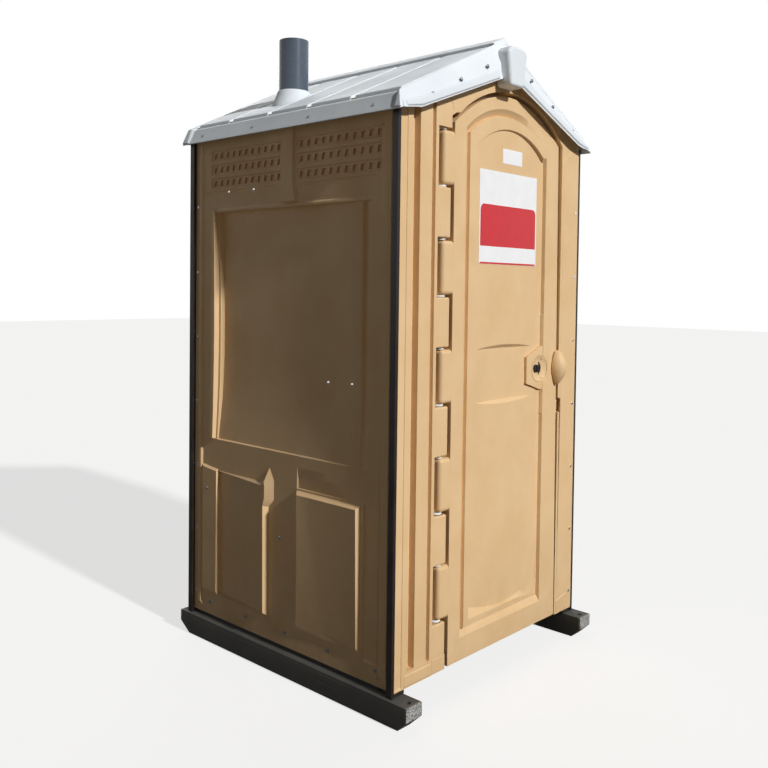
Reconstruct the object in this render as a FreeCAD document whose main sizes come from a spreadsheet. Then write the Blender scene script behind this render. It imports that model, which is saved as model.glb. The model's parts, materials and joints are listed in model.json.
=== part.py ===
import FreeCAD, Part
import os
import re
import Sketcher
from FreeCAD import Placement, Rotation, Vector

# Portable toilet cabin, in millimetres. X runs to the right of a person facing the door,
# Y runs from the door to the back, Z is up, and the origin is on the ground at the centre.

doc = FreeCAD.newDocument("cabin")

# Driving dimensions, each one a cell of the sheet
sizes = {
    # walls
    "body_width": 1090,
    "body_depth": 1130,
    "body_shift": 22,
    "wall_base": 104,
    "wall_sheet": 4,
    "wall_return": 20,
    "seam": 1,
    # skids
    "skid_width": 76,
    "skid_inset": 12,
    "skid_ends": 110,
    "skid_height": 88,
    "skid_nose_run": 45,
    "skid_nose_rise": 43,
    "skid_flank": 46,
    "skid_taper": 9,
    "tie_hole_radius": 11,
    "tie_hole_inset": 28,
    # floor
    "floor_top": 140,
    "floor_sheet": 5,
    "floor_front_gap": 3,
    "floor_rim": 26,
    "floor_bearer": 52,
    "skid_bolt_radius": 5,
    "skid_bolt_head": 9,
    "skid_bolt_depth": 50,
    "skid_bolt_reach": 400,
    # corner posts
    "post_proud": 13,
    "post_sheet": 5,
    "post_leg": 68,
    "post_front_leg": 50,
    "post_drop": 38,
    # roof
    "roof_lip": 11,
    "roof_lip_rise": 12,
    "roof_side": 32,
    "roof_rise": 283,
    "skirt_height": 55,
    "gable_foot_inset": 91,
    "gable_foot_drop": 32,
    "gable_peak_drop": 126,
    "gable_cut": 50,
    "eave_height": 2033,
    "overhang_front": 36,
    "overhang_back": 30,
    "roof_sheet": 4,
    "roof_rib": 5,
    "roof_rib_gap": 16,
    "ridge_cap_half": 62,
    "ridge_cap_rise": 10,
    "nose_half_top": 63,
    "nose_half_foot": 42,
    "nose_proud": 38,
    "nose_height": 108,
    "boot_foot_radius": 82,
    "boot_drop": 138,
    "boss_radius": 10,
    "gable_screw_pitch": 148,
    "gable_screw_first": 138,
    "gable_screw_drop": 52,
    "skirt_screw_pitch": 310,
    "skirt_screw_drop": 24,
    "screw_radius": 3,
    "screw_head_radius": 7,
    "screw_head": 3,
    "screw_bite": 6,
    # vent pipe
    "pipe_radius": 57,
    "pipe_wall": 4,
    "pipe_left": 357,
    "pipe_inset": 395,
    "pipe_rise": 57,
    "pipe_foot": 560,
    "grommet_wall": 9,
    "grommet_rise": 12,
    # side walls
    "panel_foot": 814,
    "panel_depth": 25,
    "panel_front_inset": 164,
    "panel_back_inset": 161,
    "panel_drop": 325,
    "panel_draft": 18,
    "pad_foot": 191,
    "pad_head": 690,
    "pad_depth": 18,
    "pad_draft": 14,
    "pad_front_inset": 161,
    "pad_back_inset": 180,
    "back_pad_foot": 240,
    "back_pad_drop": 190,
    "back_pad_inner": 55,
    "back_pad_inset": 105,
    "back_pad_depth": 10,
    "pad_front_end": 60,
    "pad_back_start": 96,
    "rib_half": 33,
    "rib_depth": 10,
    "louvre_drop": 222,
    "louvre_margin": 101,
    "louvre_row_pitch": 54,
    "louvre_inset": 62,
    "louvre_width": 18,
    "louvre_height": 22,
    # rivets and floor screws
    "rivet_radius": 2.4,
    "rivet_head_radius": 5.5,
    "rivet_head": 2.5,
    "rivet_first": 178,
    "rivet_drop": 38.5,
    "rivet_front_inset": 20,
    "rivet_side_inset": 37,
    "floor_screw_height": 154,
    "floor_screw_pitch": 228,
    # door
    "door_right": 414,
    "door_bottom": 108,
    "door_depth": 45,
    "door_sheet": 4,
    "door_stile": 10,
    "door_gap": 5,
    "arch_rise": 103,
    "arch_overlap": 60,
    "arch_radius": 472,
    "panel_side": 74,
    "panel_right_side": 109,
    "door_panel_foot": 200,
    "door_panel_radius": 400,
    "door_panel_drop": 68,
    "door_panel_depth": 6,
    # hinge
    "hinge_left": 311,
    "hinge_depth": 27,
    "hinge_set": 41,
    "hinge_pocket": 44,
    "hinge_guard": 62,
    "hinge_relief": 14,
    "knuckle_radius": 33,
    "knuckle_length": 186,
    "knuckle_first": 373,
    "knuckle_drop": 168,
    "knuckle_gap": 8,
    "hinge_foot": 155,
    "rod_radius": 6,
    "rod_foot": 160,
    "rod_play": 0.08,
    "bush_radius": 12,
    "bush_play": 0.3,
    # front frame
    "jamb_depth": 53,
    "stop_width": 12,
    "stop_play": 0.5,
    "wide_groove_inset": 61,
    "wide_groove_width": 35,
    "wide_groove_depth": 22,
    "slim_groove_left": 388,
    "slim_groove_right": 370,
    "slim_groove_depth": 12,
    "groove_foot": 158,
    "groove_rise": 7,
    "finger_height": 958,
    "finger_radius": 30,
    "finger_depth": 14,
    # lock
    "lock_left": 268,
    "lock_height": 1114,
    "lock_boss": 8,
    "lock_pad_left": 66,
    "lock_pad_left_half": 53,
    "lock_pad_peak": 32,
    "lock_pad_half": 87,
    "lock_pad_right": 77,
    "lock_pad_right_half": 60,
    "dish_offset": 16,
    "dish_radius": 53,
    "dish_sheet": 4,
    "spindle_radius": 8,
    "spindle_play": 0.06,
    "spindle_reach": 85,
    "coin_head_radius": 15,
    "coin_head": 6,
    "coin_slot": 3,
    "disc_radius": 41,
    "disc_sheet": 2,
    "disc_play": 0.5,
    "window_inner": 26,
    "window_outer": 37,
    "arm_length": 172,
    "arm_width": 26,
    "arm_sheet": 6,
    "arm_gap": 12,
    "hub_radius": 17,
    "knob_radius": 26,
    "knob_depth": 16,
    "knob_lever": 62,
    "lever_half": 7,
    "strike_width": 30,
    "strike_height": 90,
    "strike_depth": 20,
    # pull handle and plates
    "pull_left": 403,
    "pull_height": 1112,
    "pull_half_width": 49,
    "pull_half_height": 69,
    "pull_proud": 42,
    "pull_gap": 2,
    "pull_foot_radius": 18,
    "pull_foot_left": 385,
    "pull_hollow": 7,
    "plate_left": 26,
    "plate_right": 153,
    "plate_drop": 253,
    "plate_height": 54,
    "plate_sheet": 1.2,
    "sticker_left": 116,
    "sticker_right": 258,
    "sticker_drop": 286,
    "sticker_height": 338,
    "sticker_sheet": 0.8,
    "grab_left": 100,
    "grab_foot": 870,
    "grab_head": 1010,
    "grab_reach": 38,
    "grab_radius": 9,
    # tank and seat
    "tank_wall": 5,
    "tank_side": 17,
    "tank_inset": 15,
    "tank_depth": 477,
    "deck_top": 600,
    "deck_sheet": 8,
    "deck_lip": 5,
    "deck_lip_drop": 22,
    "seat_radius": 182,
    "seat_reach": 166,
    "seat_pin_inset": 106,
    "seat_hole_radius": 115,
    "seat_hole_run": 40,
    "seat_run": 132,
    "seat_sheet": 22,
    "seat_play": 0.3,
    "seat_pin_rise": 14,
    "seat_pin_radius": 5,
    "seat_pin_play": 0.08,
    "ear_radius": 11,
    "ear_width": 28,
    "ear_overlap": 5,
    "seat_ear_start": 62,
    "lid_ear_start": 30,
    "post_ear_start": 94,
    "lid_sheet": 10,
    "lid_lean": 100,
    "lid_play": 1,
    # fittings
    "urinal_half": 120,
    "urinal_inset": 280,
    "urinal_foot": 745,
    "urinal_rim": 880,
    "urinal_head": 1118,
    "urinal_reach": 215,
    "urinal_wall": 6,
    "drain_radius": 20,
    "drain_wall": 3,
    "drain_out": 105,
    "paper_back": 200,
    "paper_height": 905,
    "paper_out": 62,
    "paper_roll_radius": 52,
    "paper_core_radius": 20,
    "paper_roll_length": 100,
    "paper_roll_gap": 3,
    "paper_rod_radius": 8,
    "paper_arm": 6,
    "paper_plate": 4,
    "paper_plate_half": 22,
    "paper_bush_play": 0.08,
    "hook_back": 271,
    "hook_half": 95,
    "hook_plate": 4,
    "hook_plate_half": 11,
    "hook_drop": 246,
    "hook_peg": 45,
    "hook_peg_radius": 6,
}

# Dimensions that follow from them, as formulas in the same sheet
followers = {
    "front_reach": "body_depth / 2 - body_shift",
    "skid_spread": "body_width / 2 - skid_inset",
    "skid_length": "body_depth + skid_ends",
    "roof_half": "body_width / 2 + roof_side",
    "ridge_height": "eave_height + roof_rise",
    "roof_base": "eave_height - skirt_height",
    "gable_foot": "roof_half - gable_foot_inset",
    "gable_foot_height": "eave_height - gable_foot_drop",
    "gable_peak_height": "ridge_height - gable_peak_drop",
    "boot_top": "ridge_height - boot_drop",
    "pipe_top": "ridge_height + pipe_rise",
    "pipe_back": "body_depth / 2 + body_shift - pipe_inset",
    "skirt_screw_height": "eave_height - skirt_screw_drop",
    "post_top": "eave_height - post_drop",
    "panel_front": "front_reach - panel_front_inset",
    "panel_back": "body_depth / 2 + body_shift - panel_back_inset",
    "panel_head": "eave_height - panel_drop",
    "pad_front_start": "front_reach - pad_front_inset",
    "pad_back_end": "body_depth / 2 + body_shift - pad_back_inset",
    "back_pad_head": "eave_height - back_pad_drop",
    "back_pad_outer": "body_width / 2 - back_pad_inset",
    "louvre_row_first": "eave_height - louvre_drop",
    "louvre_pitch": "(front_reach - louvre_margin - louvre_inset) / 10",
    "rivet_front_offset": "body_width / 2 - rivet_front_inset",
    "rivet_side_offset": "body_depth / 2 + body_shift - rivet_side_inset",
    "rivet_pitch": "(eave_height - rivet_drop - rivet_first) / 7",
    "arch_peak": "eave_height + arch_rise",
    "door_panel_peak": "arch_peak - door_panel_drop",
    "knuckle_pitch": "(eave_height - knuckle_drop - knuckle_first) / 4",
    "groove_head": "eave_height + groove_rise",
    "wide_groove_left": "body_width / 2 - wide_groove_inset",
    "wide_groove_right": "wide_groove_left - wide_groove_width",
    "plate_foot": "arch_peak - plate_drop",
    "plate_head": "plate_foot + plate_height",
    "sticker_head": "arch_peak - sticker_drop",
    "sticker_foot": "sticker_head - sticker_height",
    "tank_half": "body_width / 2 - tank_side",
    "tank_back": "body_depth / 2 + body_shift - tank_inset",
    "tank_front": "tank_back - tank_depth",
    "seat_pin_back": "tank_back - seat_pin_inset",
    "seat_back": "seat_pin_back - seat_reach",
    "urinal_back": "urinal_inset - front_reach",
    "hook_height": "eave_height - hook_drop",
}
words = {**sizes, **followers}

table = doc.addObject("Spreadsheet::Sheet", "Sizes")
for row, (word, value) in enumerate(words.items(), start=1):
    table.set(f"A{row}", word)
    table.set(f"B{row}", f"={value}" if word in followers else str(value))
    table.setAlias(f"B{row}", word)
doc.recompute()

# Places worked out from the sheet, written as expressions
front = "(-front_reach)"
back = "(body_depth - front_reach)"
middle = "(body_depth / 2 - front_reach)"
half = "(body_width / 2)"
inside = "(body_width / 2 - wall_sheet)"
pitch_rise = "((ridge_height - eave_height) / roof_half)"
roof_drop = f"(roof_sheet * sqrt(1 + {pitch_rise} ^ 2))"
wall_head = f"(eave_height + (roof_half - {half}) * {pitch_rise} - {roof_drop})"
inner_peak = f"(ridge_height - {roof_drop})"
door_left = "(hinge_left - hinge_set)"
door_centre = f"((door_right - {door_left}) / 2)"
door_half = f"((door_right + {door_left}) / 2)"
arch_centre = "(arch_peak - arch_radius)"
arch_spring = f"({arch_centre} + sqrt(arch_radius ^ 2 - {door_half} ^ 2))"
hinge_back = "(hinge_depth - front_reach)"
door_back = "(door_depth - front_reach)"
bay_left = "(-hinge_left - hinge_pocket)"
bay_head = "(knuckle_first + 4 * knuckle_pitch + knuckle_length / 2 + knuckle_gap)"
frame_back = "(jamb_depth - front_reach)"
panel_face = f"({inside} - panel_depth)"
pin_height = "(deck_top + seat_pin_rise)"
drain_x = f"(drain_out - {panel_face})"
drain_z = "(deck_top - drain_out)"
paper_x = f"({panel_face} - paper_out)"
lock_centre = ("lock_left", "lock_height")

axes = {
    "x": Rotation(Vector(0, 1, 0), 90),
    "y": Rotation(Vector(1, 0, 0), -90),
    "z": Rotation(),
}
planes = {
    "x": Rotation(Vector(1, 1, 1), 120),
    "y": Rotation(Vector(1, 0, 0), 90),
    "z": Rotation(),
}
seed_radius = 100
directions = {"x": Vector(1, 0, 0), "y": Vector(0, 1, 0), "z": Vector(0, 0, 1)}
pieces = []


def linked(text):
    """The expression with the sheet's name before each size."""
    return re.sub(r"[a-z]\w*", lambda word: f"Sizes.{word[0]}" if word[0] in words else word[0], text)


def drive(item, **bindings):
    for name, text in bindings.items():
        item.setExpression(name, linked(str(text)))


def place(item, **coordinates):
    for letter, text in coordinates.items():
        item.setExpression(f"Placement.Base.{letter}", linked(str(text)))


def box(x, y, z, name="block"):
    """A block between a low and a high bound along each axis."""
    item = doc.addObject("Part::Box", name)
    place(item, x=x[0], y=y[0], z=z[0])
    spans = [f"({high}) - ({low})" for low, high in (x, y, z)]
    drive(item, Length=spans[0], Width=spans[1], Height=spans[2])
    return item


def rod(along, centre, span, radius, name="rod"):
    """A cylinder along an axis; its centre is given by the two other coordinates in order."""
    item = doc.addObject("Part::Cylinder", name)
    item.Placement = Placement(Vector(), axes[along])
    others = [letter for letter in "xyz" if letter != along]
    place(item, **{along: span[0], others[0]: centre[0], others[1]: centre[1]})
    drive(item, Radius=radius, Height=f"({span[1]}) - ({span[0]})")
    return item


def prism(along, corners, span, name="prism"):
    """A straight-sided outline, carried along an axis."""
    outline = doc.addObject("Sketcher::SketchObject", f"{name}_outline")
    outline.Placement = Placement(Vector(), planes[along])
    place(outline, **{along: span[0]})
    count = len(corners)
    # a ring that the corners start on, before their distances move them
    start = Vector(seed_radius, 0, 0)
    ring = [Rotation(Vector(0, 0, 1), 360 * i / count).multVec(start) for i in range(count)]
    for i in range(count):
        outline.addGeometry(Part.LineSegment(ring[i], ring[(i + 1) % count]), False)
    for i, (across, up) in enumerate(corners):
        outline.addConstraint(Sketcher.Constraint("Coincident", i, 2, (i + 1) % count, 1))
        for kind, first, text in (("DistanceX", ring[i].x, across), ("DistanceY", ring[i].y, up)):
            number = outline.addConstraint(Sketcher.Constraint(kind, -1, 1, i, 1, first))
            outline.setExpression(f"Constraints[{number}]", linked(str(text)))
    item = doc.addObject("Part::Extrusion", name)
    item.Base = outline
    item.DirMode = "Custom"
    item.Dir = directions[along]
    item.Solid = True
    drive(item, LengthFwd=f"({span[1]}) - ({span[0]})")
    return item


def tapered(side, y, z, depth, draft, grow="0", name="tray"):
    """A block on the left wall that narrows by a draft on each side; side is 1 inwards, -1 outwards."""
    item = doc.addObject("Part::Wedge", name)
    item.Placement = Placement(Vector(), Rotation(Vector(0, 0, 1), -90))
    place(item, x=f"-{half}" if side > 0 else f"-{half} - ({depth})", y=0, z=0)
    near = {
        "X": (f"-({y[1]}) - ({grow})", f"-({y[0]}) + ({grow})"),
        "Z": (f"({z[0]}) - ({grow})", f"({z[1]}) + ({grow})"),
    }
    far = {axis: (f"{low} + ({draft})", f"{high} - ({draft})") for axis, (low, high) in near.items()}
    first, second = (near, far) if side > 0 else (far, near)
    drive(item, Ymin=0, Ymax=depth)
    drive(item, Xmin=first["X"][0], Xmax=first["X"][1], Zmin=first["Z"][0], Zmax=first["Z"][1])
    drive(item, X2min=second["X"][0], X2max=second["X"][1], Z2min=second["Z"][0], Z2max=second["Z"][1])
    return item


def fuse(items, name="joined"):
    item = doc.addObject("Part::MultiFuse", name)
    item.Shapes = list(items)
    return item


def group(items, name="group"):
    item = doc.addObject("Part::Compound", name)
    item.Links = list(items)
    return item


def cut(base, tools, name="cut"):
    """The base without the tools, which are joined first where there are several."""
    item = doc.addObject("Part::Cut", name)
    item.Base = base
    item.Tool = tools[0] if len(tools) == 1 else fuse(tools)
    return item


def common(first, second, name="shared"):
    item = doc.addObject("Part::MultiCommon", name)
    item.Shapes = [first, second]
    return item


def mirrored(item, normal, base=None, name="mirrored"):
    copy = doc.addObject("Part::Mirroring", name)
    copy.Source = item
    copy.Normal = normal
    if base:
        copy.setExpression("Base.y", linked(base))
    return copy


def piece(label, item):
    item.Label = label
    pieces.append(item)
    return item


def fasteners(along, facing, places, start, length, radius, head_radius, head):
    """Pins with heads, as separate solids, and the shanks alone for the holes they sit in."""
    shanks, wholes = [], []
    for centre in places:
        ends = (start, f"({start}) + ({length})") if facing < 0 else (f"({start}) - ({length})", start)
        cap = (f"({start}) - ({head})", start) if facing < 0 else (start, f"({start}) + ({head})")
        shank = rod(along, centre, ends, radius)
        shanks.append(shank)
        wholes.append(fuse([shank, rod(along, centre, cap, head_radius)]))
    return wholes, shanks


def skid(side):
    """A runner with sloping noses, flanks drawn in towards the ground and a tie-down hole near each end."""
    ends = "skid_length / 2"
    outline = [
        (f"-{ends}", "skid_height"),
        (f"-{ends}", "skid_nose_rise"),
        (f"-{ends} + skid_nose_run", 0),
        (f"{ends} - skid_nose_run", 0),
        (ends, "skid_nose_rise"),
        (ends, "skid_height"),
    ]
    x = "skid_spread" if side > 0 else "-skid_spread"
    long_shape = prism("x", outline, (f"{x} - skid_width / 2", f"{x} + skid_width / 2"), "skid_side")
    section = [
        (f"{x} - skid_width / 2", "skid_height"),
        (f"{x} - skid_width / 2", "skid_flank"),
        (f"{x} - skid_width / 2 + skid_taper", 0),
        (f"{x} + skid_width / 2 - skid_taper", 0),
        (f"{x} + skid_width / 2", "skid_flank"),
        (f"{x} + skid_width / 2", "skid_height"),
    ]
    cross_shape = prism("y", section, (f"-{ends}", ends), "skid_section")
    holes = [
        rod("z", (x, f"{sign} * ({ends} - tie_hole_inset)"), (0, "skid_height"), "tie_hole_radius")
        for sign in (-1, 1)
    ]
    return cut(common(long_shape, cross_shape), [group(holes + bolt_shanks[side])])


def floor():
    """The floor pan: a top sheet on deep edges and cross ribs, with an upstand for the walls' screws."""
    low = f"{frame_back} + floor_front_gap"
    high = f"{back} - wall_sheet"
    body = box((f"-{inside}", inside), (low, high), ("skid_height", "floor_top"))
    rim_start = f"{front} + post_leg + wall_return"
    rim_room = box(
        (f"-{inside} + floor_sheet", f"{inside} - floor_sheet"),
        (front, f"{high} - floor_sheet"),
        ("floor_top", "floor_top + 2 * floor_rim"),
    )
    rim_block = box((f"-{inside}", inside), (rim_start, high), ("floor_top", "floor_top + floor_rim"))
    rim = cut(rim_block, [rim_room])
    bays = []
    count = 4
    for i in range(count):
        span = f"(({high}) - ({low}) - floor_sheet) / {count}"
        bays.append(box(
            (f"-{inside} + floor_bearer", f"{inside} - floor_bearer"),
            (f"{low} + {i} * {span} + floor_sheet", f"{low} + {i + 1} * {span}"),
            ("skid_height", "floor_top - floor_sheet"),
        ))
    guard_room = box(
        (f"{bay_left} - wall_sheet - floor_front_gap", f"-{door_left} + wall_sheet + floor_front_gap"),
        (front, f"{front} + hinge_guard + wall_sheet + floor_front_gap"),
        ("skid_height", "floor_top"),
    )
    room = [guard_room, group(bays), group(post_foot_room())]
    return cut(fuse([body, rim]), room + [group(floor_screw_shanks), group(bolts[-1] + bolts[1])])


def post_foot_room():
    """Room in the floor pan's corners for the posts' inner legs."""
    z = ("skid_height", "floor_top + 2 * floor_rim")
    room = []
    for side in (-1, 1):
        near = (f"{inside} - post_sheet", inside)
        far = (f"{inside} - post_front_leg", inside)
        if side < 0:
            near = (f"-{inside}", f"-{inside} + post_sheet")
            far = (f"-{inside}", f"-{inside} + post_front_leg")
        room.append(box(near, (front, f"{front} + wall_sheet + post_leg"), z))
        room.append(box(near, (f"{back} - wall_sheet - post_leg", back), z))
        room.append(box(far, (f"{back} - wall_sheet - post_sheet", back), z))
    return room


def corner_post():
    """The front left post: a strip outside the corner, a web through the seam and two inner legs."""
    outer = f"-{half} - post_proud"
    face = f"-{half}"
    web = f"{front} + wall_return"
    web_back = f"{web} + post_sheet"
    leg = f"-{inside}"
    corners = [
        (outer, front),
        (face, front),
        (face, web),
        (leg, web),
        (leg, f"{front} + wall_sheet"),
        (f"{leg} + post_front_leg", f"{front} + wall_sheet"),
        (f"{leg} + post_front_leg", f"{front} + wall_sheet + post_sheet"),
        (f"{leg} + post_sheet", f"{front} + wall_sheet + post_sheet"),
        (f"{leg} + post_sheet", f"{front} + wall_sheet + post_leg"),
        (leg, f"{front} + wall_sheet + post_leg"),
        (leg, web_back),
        (outer, web_back),
    ]
    return prism("z", corners, ("skid_height", "post_top"), "corner_section")


def gable(span, name):
    """The outline of an end wall under the roof, as a slab."""
    corners = [
        (f"-{half}", "wall_base"),
        (half, "wall_base"),
        (half, wall_head),
        (0, inner_peak),
        (f"-{half}", wall_head),
    ]
    return prism("y", corners, span, name)


def side_returns(span):
    return [
        box((f"-{half}", f"-{inside}"), span, ("wall_base", wall_head)),
        box((inside, half), span, ("wall_base", wall_head)),
    ]


def back_pad(left, right, start, shrink):
    """A pad pressed out of the back wall with drafted edges, smaller by a shrink for its hollow."""
    item = doc.addObject("Part::Wedge", "back_pad")
    place(item, x=0, y=start, z=0)
    x = (f"{left} + {shrink}", f"{right} - {shrink}")
    z = (f"back_pad_foot + {shrink}", f"back_pad_head - {shrink}")
    drive(item, Ymin=0, Ymax="back_pad_depth")
    drive(item, Xmin=x[0], Xmax=x[1], Zmin=z[0], Zmax=z[1])
    drive(item, X2min=f"{x[0]} + pad_draft", X2max=f"{x[1]} - pad_draft")
    drive(item, Z2min=f"{z[0]} + pad_draft", Z2max=f"{z[1]} - pad_draft")
    return item


def back_wall():
    """The back wall: a sheet with returns at its sides and two tall pads pressed out of it."""
    skin = gable((f"{back} - wall_sheet", back), "back_sheet")
    returns = side_returns((f"{back} - wall_return", back))
    ends = [("-back_pad_outer", "-back_pad_inner"), ("back_pad_inner", "back_pad_outer")]
    pads = [back_pad(left, right, back, "0") for left, right in ends]
    hollows = [back_pad(left, right, f"{back} - wall_sheet", "wall_sheet") for left, right in ends]
    holes = rivet_shanks["back"] + gable_shanks["back"] + back_floor_shanks
    return cut(fuse([skin] + returns + pads), hollows + [group(holes)])


def louvre_slots():
    """Slots of the two banks of three louvre rows in the left wall."""
    slots = []
    for row in range(3):
        low = f"louvre_row_first + {row} * louvre_row_pitch"
        for column in range(11):
            for start, sign in (("louvre_inset", 1), ("-louvre_inset", -1)):
                centre = f"{start} + {sign} * {column} * louvre_pitch"
                slots.append(box(
                    (f"-{half} - wall_sheet", f"-{inside} + wall_sheet"),
                    (f"{centre} - louvre_width / 2", f"{centre} + louvre_width / 2"),
                    (low, f"{low} + louvre_height"),
                ))
    return group(slots, "louvre_slots")


def side_wall():
    """The left wall: a formed sheet with a pressed-in panel, two pressed-out pads, a rib and louvres."""
    web_back = "(wall_return + post_sheet)"
    ends = (f"{front} + {web_back}", f"{back} - {web_back}")
    plain = box((f"-{half}", f"-{inside}"), ends, ("wall_base", wall_head))
    panel_y = ("-panel_front", "panel_back")
    panel_z = ("panel_foot", "panel_head")
    outer_tray = tapered(1, panel_y, panel_z, "panel_depth + wall_sheet", "panel_draft", "wall_sheet")
    inner_tray = tapered(1, panel_y, panel_z, "panel_depth", "panel_draft")
    pads = [("-pad_front_start", "-pad_front_end"), ("pad_back_start", "pad_back_end")]
    pad_z = ("pad_foot", "pad_head")
    bumps = [tapered(-1, y, pad_z, "pad_depth", "pad_draft") for y in pads]
    hollows = []
    for low, high in pads:
        room_y = (f"{low} + wall_sheet", f"{high} - wall_sheet")
        room_z = ("pad_foot + wall_sheet", "pad_head - wall_sheet")
        hollow = tapered(-1, room_y, room_z, "pad_depth", "pad_draft")
        place(hollow, x=f"-{half} - pad_depth + wall_sheet", y=0, z=0)
        hollows.append(hollow)
    rib_z = ("panel_head", "louvre_row_first + 3 * louvre_row_pitch")
    rib = box((f"-{half} - rib_depth", f"-{half}"), ("-rib_half", "rib_half"), rib_z)
    shape = fuse([cut(fuse([plain, outer_tray] + bumps), [inner_tray] + hollows), rib])
    holes = group(rivet_shanks["left"] + skirt_shanks + side_floor_shanks)
    return cut(cut(shape, [louvre_slots()]), [holes])


def doorway(margin, span):
    """The door opening's outline, wider by a margin, as a slab."""
    left = f"-{door_left} - door_gap - ({margin})"
    right = f"door_right + door_gap + ({margin})"
    low = box((left, right), span, ("0", arch_spring))
    disc = rod("y", (door_centre, arch_centre), span, f"arch_radius + door_gap + ({margin})")
    top = box((left, right), span, (f"{arch_spring} - arch_overlap", "arch_peak + arch_overlap"))
    return [low, common(disc, top)]


def frame_groove(left, right, depth):
    """A groove pressed into the front frame's left margin: its tray's outside, then the hollow."""
    hollow = box((f"-{left}", f"-{right}"), (front, f"{front} + {depth}"), ("groove_foot", "groove_head"))
    tray = box(
        (f"-{left} - wall_sheet", f"-{right} + wall_sheet"),
        (front, f"{front} + {depth} + wall_sheet"),
        ("groove_foot - wall_sheet", "groove_head + wall_sheet"),
    )
    return tray, hollow


def knuckle(span, name="knuckle"):
    return rod("z", ("-hinge_left", hinge_back), span, "knuckle_radius", name)


def frame_knuckle_spans():
    """Heights of the frame's knuckles: one under the door's lowest, then one between each pair."""
    reach = "knuckle_length / 2 + knuckle_gap"
    spans = [("hinge_foot", f"knuckle_first - ({reach})")]
    for i in range(4):
        low = f"knuckle_first + {i} * knuckle_pitch + {reach}"
        high = f"knuckle_first + {i + 1} * knuckle_pitch - ({reach})"
        spans.append((low, high))
    return spans


def finger_cup(extra):
    """The finger recess in the frame beside the door's edge, grown by a sheet for its outside."""
    centre = ("door_right + door_gap", "finger_height")
    return rod("y", centre, (front, f"{front} + finger_depth + {extra}"), f"finger_radius + {extra}")


def door_stop():
    """The narrow stop behind the door's free edge and arch."""
    y = (f"{door_back} + stop_play", f"{door_back} + stop_play + wall_sheet")
    edge = "door_right + door_gap"
    side = box((f"{edge} - stop_width", edge), y, ("floor_top", arch_spring))
    centre = (door_centre, arch_centre)
    above = box((f"-{door_left} - door_gap", edge), y, (arch_spring, "arch_peak + arch_overlap"))
    disc = common(rod("y", centre, y, "arch_radius + door_gap"), above)
    return [side, cut(disc, [rod("y", centre, y, "arch_radius + door_gap - stop_width")])]


def frame_knuckles():
    """The frame's knuckles, each on a web from the bay's wall, and the block that holds the rod's top."""
    solids = []
    y = (front, f"{hinge_back} + knuckle_radius")
    for span in frame_knuckle_spans():
        solids.append(knuckle(span))
        solids.append(box((bay_left, "-hinge_left"), y, span))
    cap_z = (bay_head, f"{bay_head} + 4 * wall_sheet")
    solids.append(box((bay_left, "-hinge_left + rod_radius + wall_sheet"), y, cap_z))
    return solids


def front_frame():
    """The front frame: gable sheet, returns, jambs, stop, hinge bay with knuckles, and pressed grooves."""
    grooves = [
        frame_groove("wide_groove_left", "wide_groove_right", "wide_groove_depth"),
        frame_groove("slim_groove_left", "slim_groove_right", "slim_groove_depth"),
    ]
    trays = [tray for tray, hollow in grooves]
    hollows = [hollow for tray, hollow in grooves]
    face = gable((front, f"{front} + wall_sheet"), "frame_face")
    jamb = common(fuse(doorway("wall_sheet", (front, frame_back))), gable((front, frame_back), "frame_room"))
    returns = side_returns((front, f"{front} + wall_return"))
    opening = doorway("0", (f"{front} - wall_sheet", f"{frame_back} + wall_sheet"))
    outside = fuse([face, jamb, finger_cup("wall_sheet")] + returns + trays)
    shell = cut(outside, opening + [finger_cup("0")] + hollows)
    guard = f"{front} + hinge_guard"
    bay_outside = box(
        (f"{bay_left} - wall_sheet", f"-{door_left} + wall_sheet"),
        (front, f"{guard} + wall_sheet"),
        ("wall_base", f"{bay_head} + wall_sheet"),
    )
    bay_inside = box(
        (bay_left, f"-{door_left} + 3 * wall_sheet"),
        (f"{front} - wall_sheet", guard),
        ("wall_base", bay_head),
    )
    leaf_room = box(
        (f"-{door_left} - door_gap", f"-{door_left} + 4 * wall_sheet"),
        (front, door_back),
        (0, arch_spring),
    )
    relief = box(
        (f"-{door_left} - hinge_relief", f"-{door_left} + hinge_relief"),
        (front, frame_back),
        (bay_head, f"{arch_spring} + 2 * hinge_relief"),
    )
    shell = cut(fuse([shell, bay_outside]), [bay_inside, leaf_room, relief])
    holes = group([hinge_rod_shape] + rivet_shanks["front"] + gable_shanks["front"])
    return cut(fuse([shell] + door_stop() + frame_knuckles()), [holes])


def door_outline(margin, span):
    """The door leaf's outline, smaller by a margin, as a slab."""
    left = f"-{door_left} + ({margin})"
    right = f"door_right - ({margin})"
    low = box((left, right), span, (f"door_bottom + ({margin})", arch_spring))
    disc = rod("y", (door_centre, arch_centre), span, f"arch_radius - ({margin})")
    top = box((left, right), span, (f"{arch_spring} - arch_overlap", "arch_peak + arch_overlap"))
    return fuse([low, common(disc, top)])


def door_panel():
    """The sunk panel of the door's outer face, with an arched head."""
    left = f"-{door_left} + panel_side"
    right = "door_right - panel_right_side"
    centre = f"(({left}) + ({right})) / 2"
    span = (f"{front} - door_sheet", f"{front} + door_panel_depth")
    low = box((left, right), span, ("door_panel_foot", "door_panel_peak - door_panel_radius / 2"))
    disc = rod("y", (centre, "door_panel_peak - door_panel_radius"), span, "door_panel_radius")
    top_z = ("door_panel_peak - door_panel_radius / 2", "door_panel_peak + arch_overlap")
    top = box((left, right), span, top_z)
    return [low, common(disc, top)]


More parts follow.
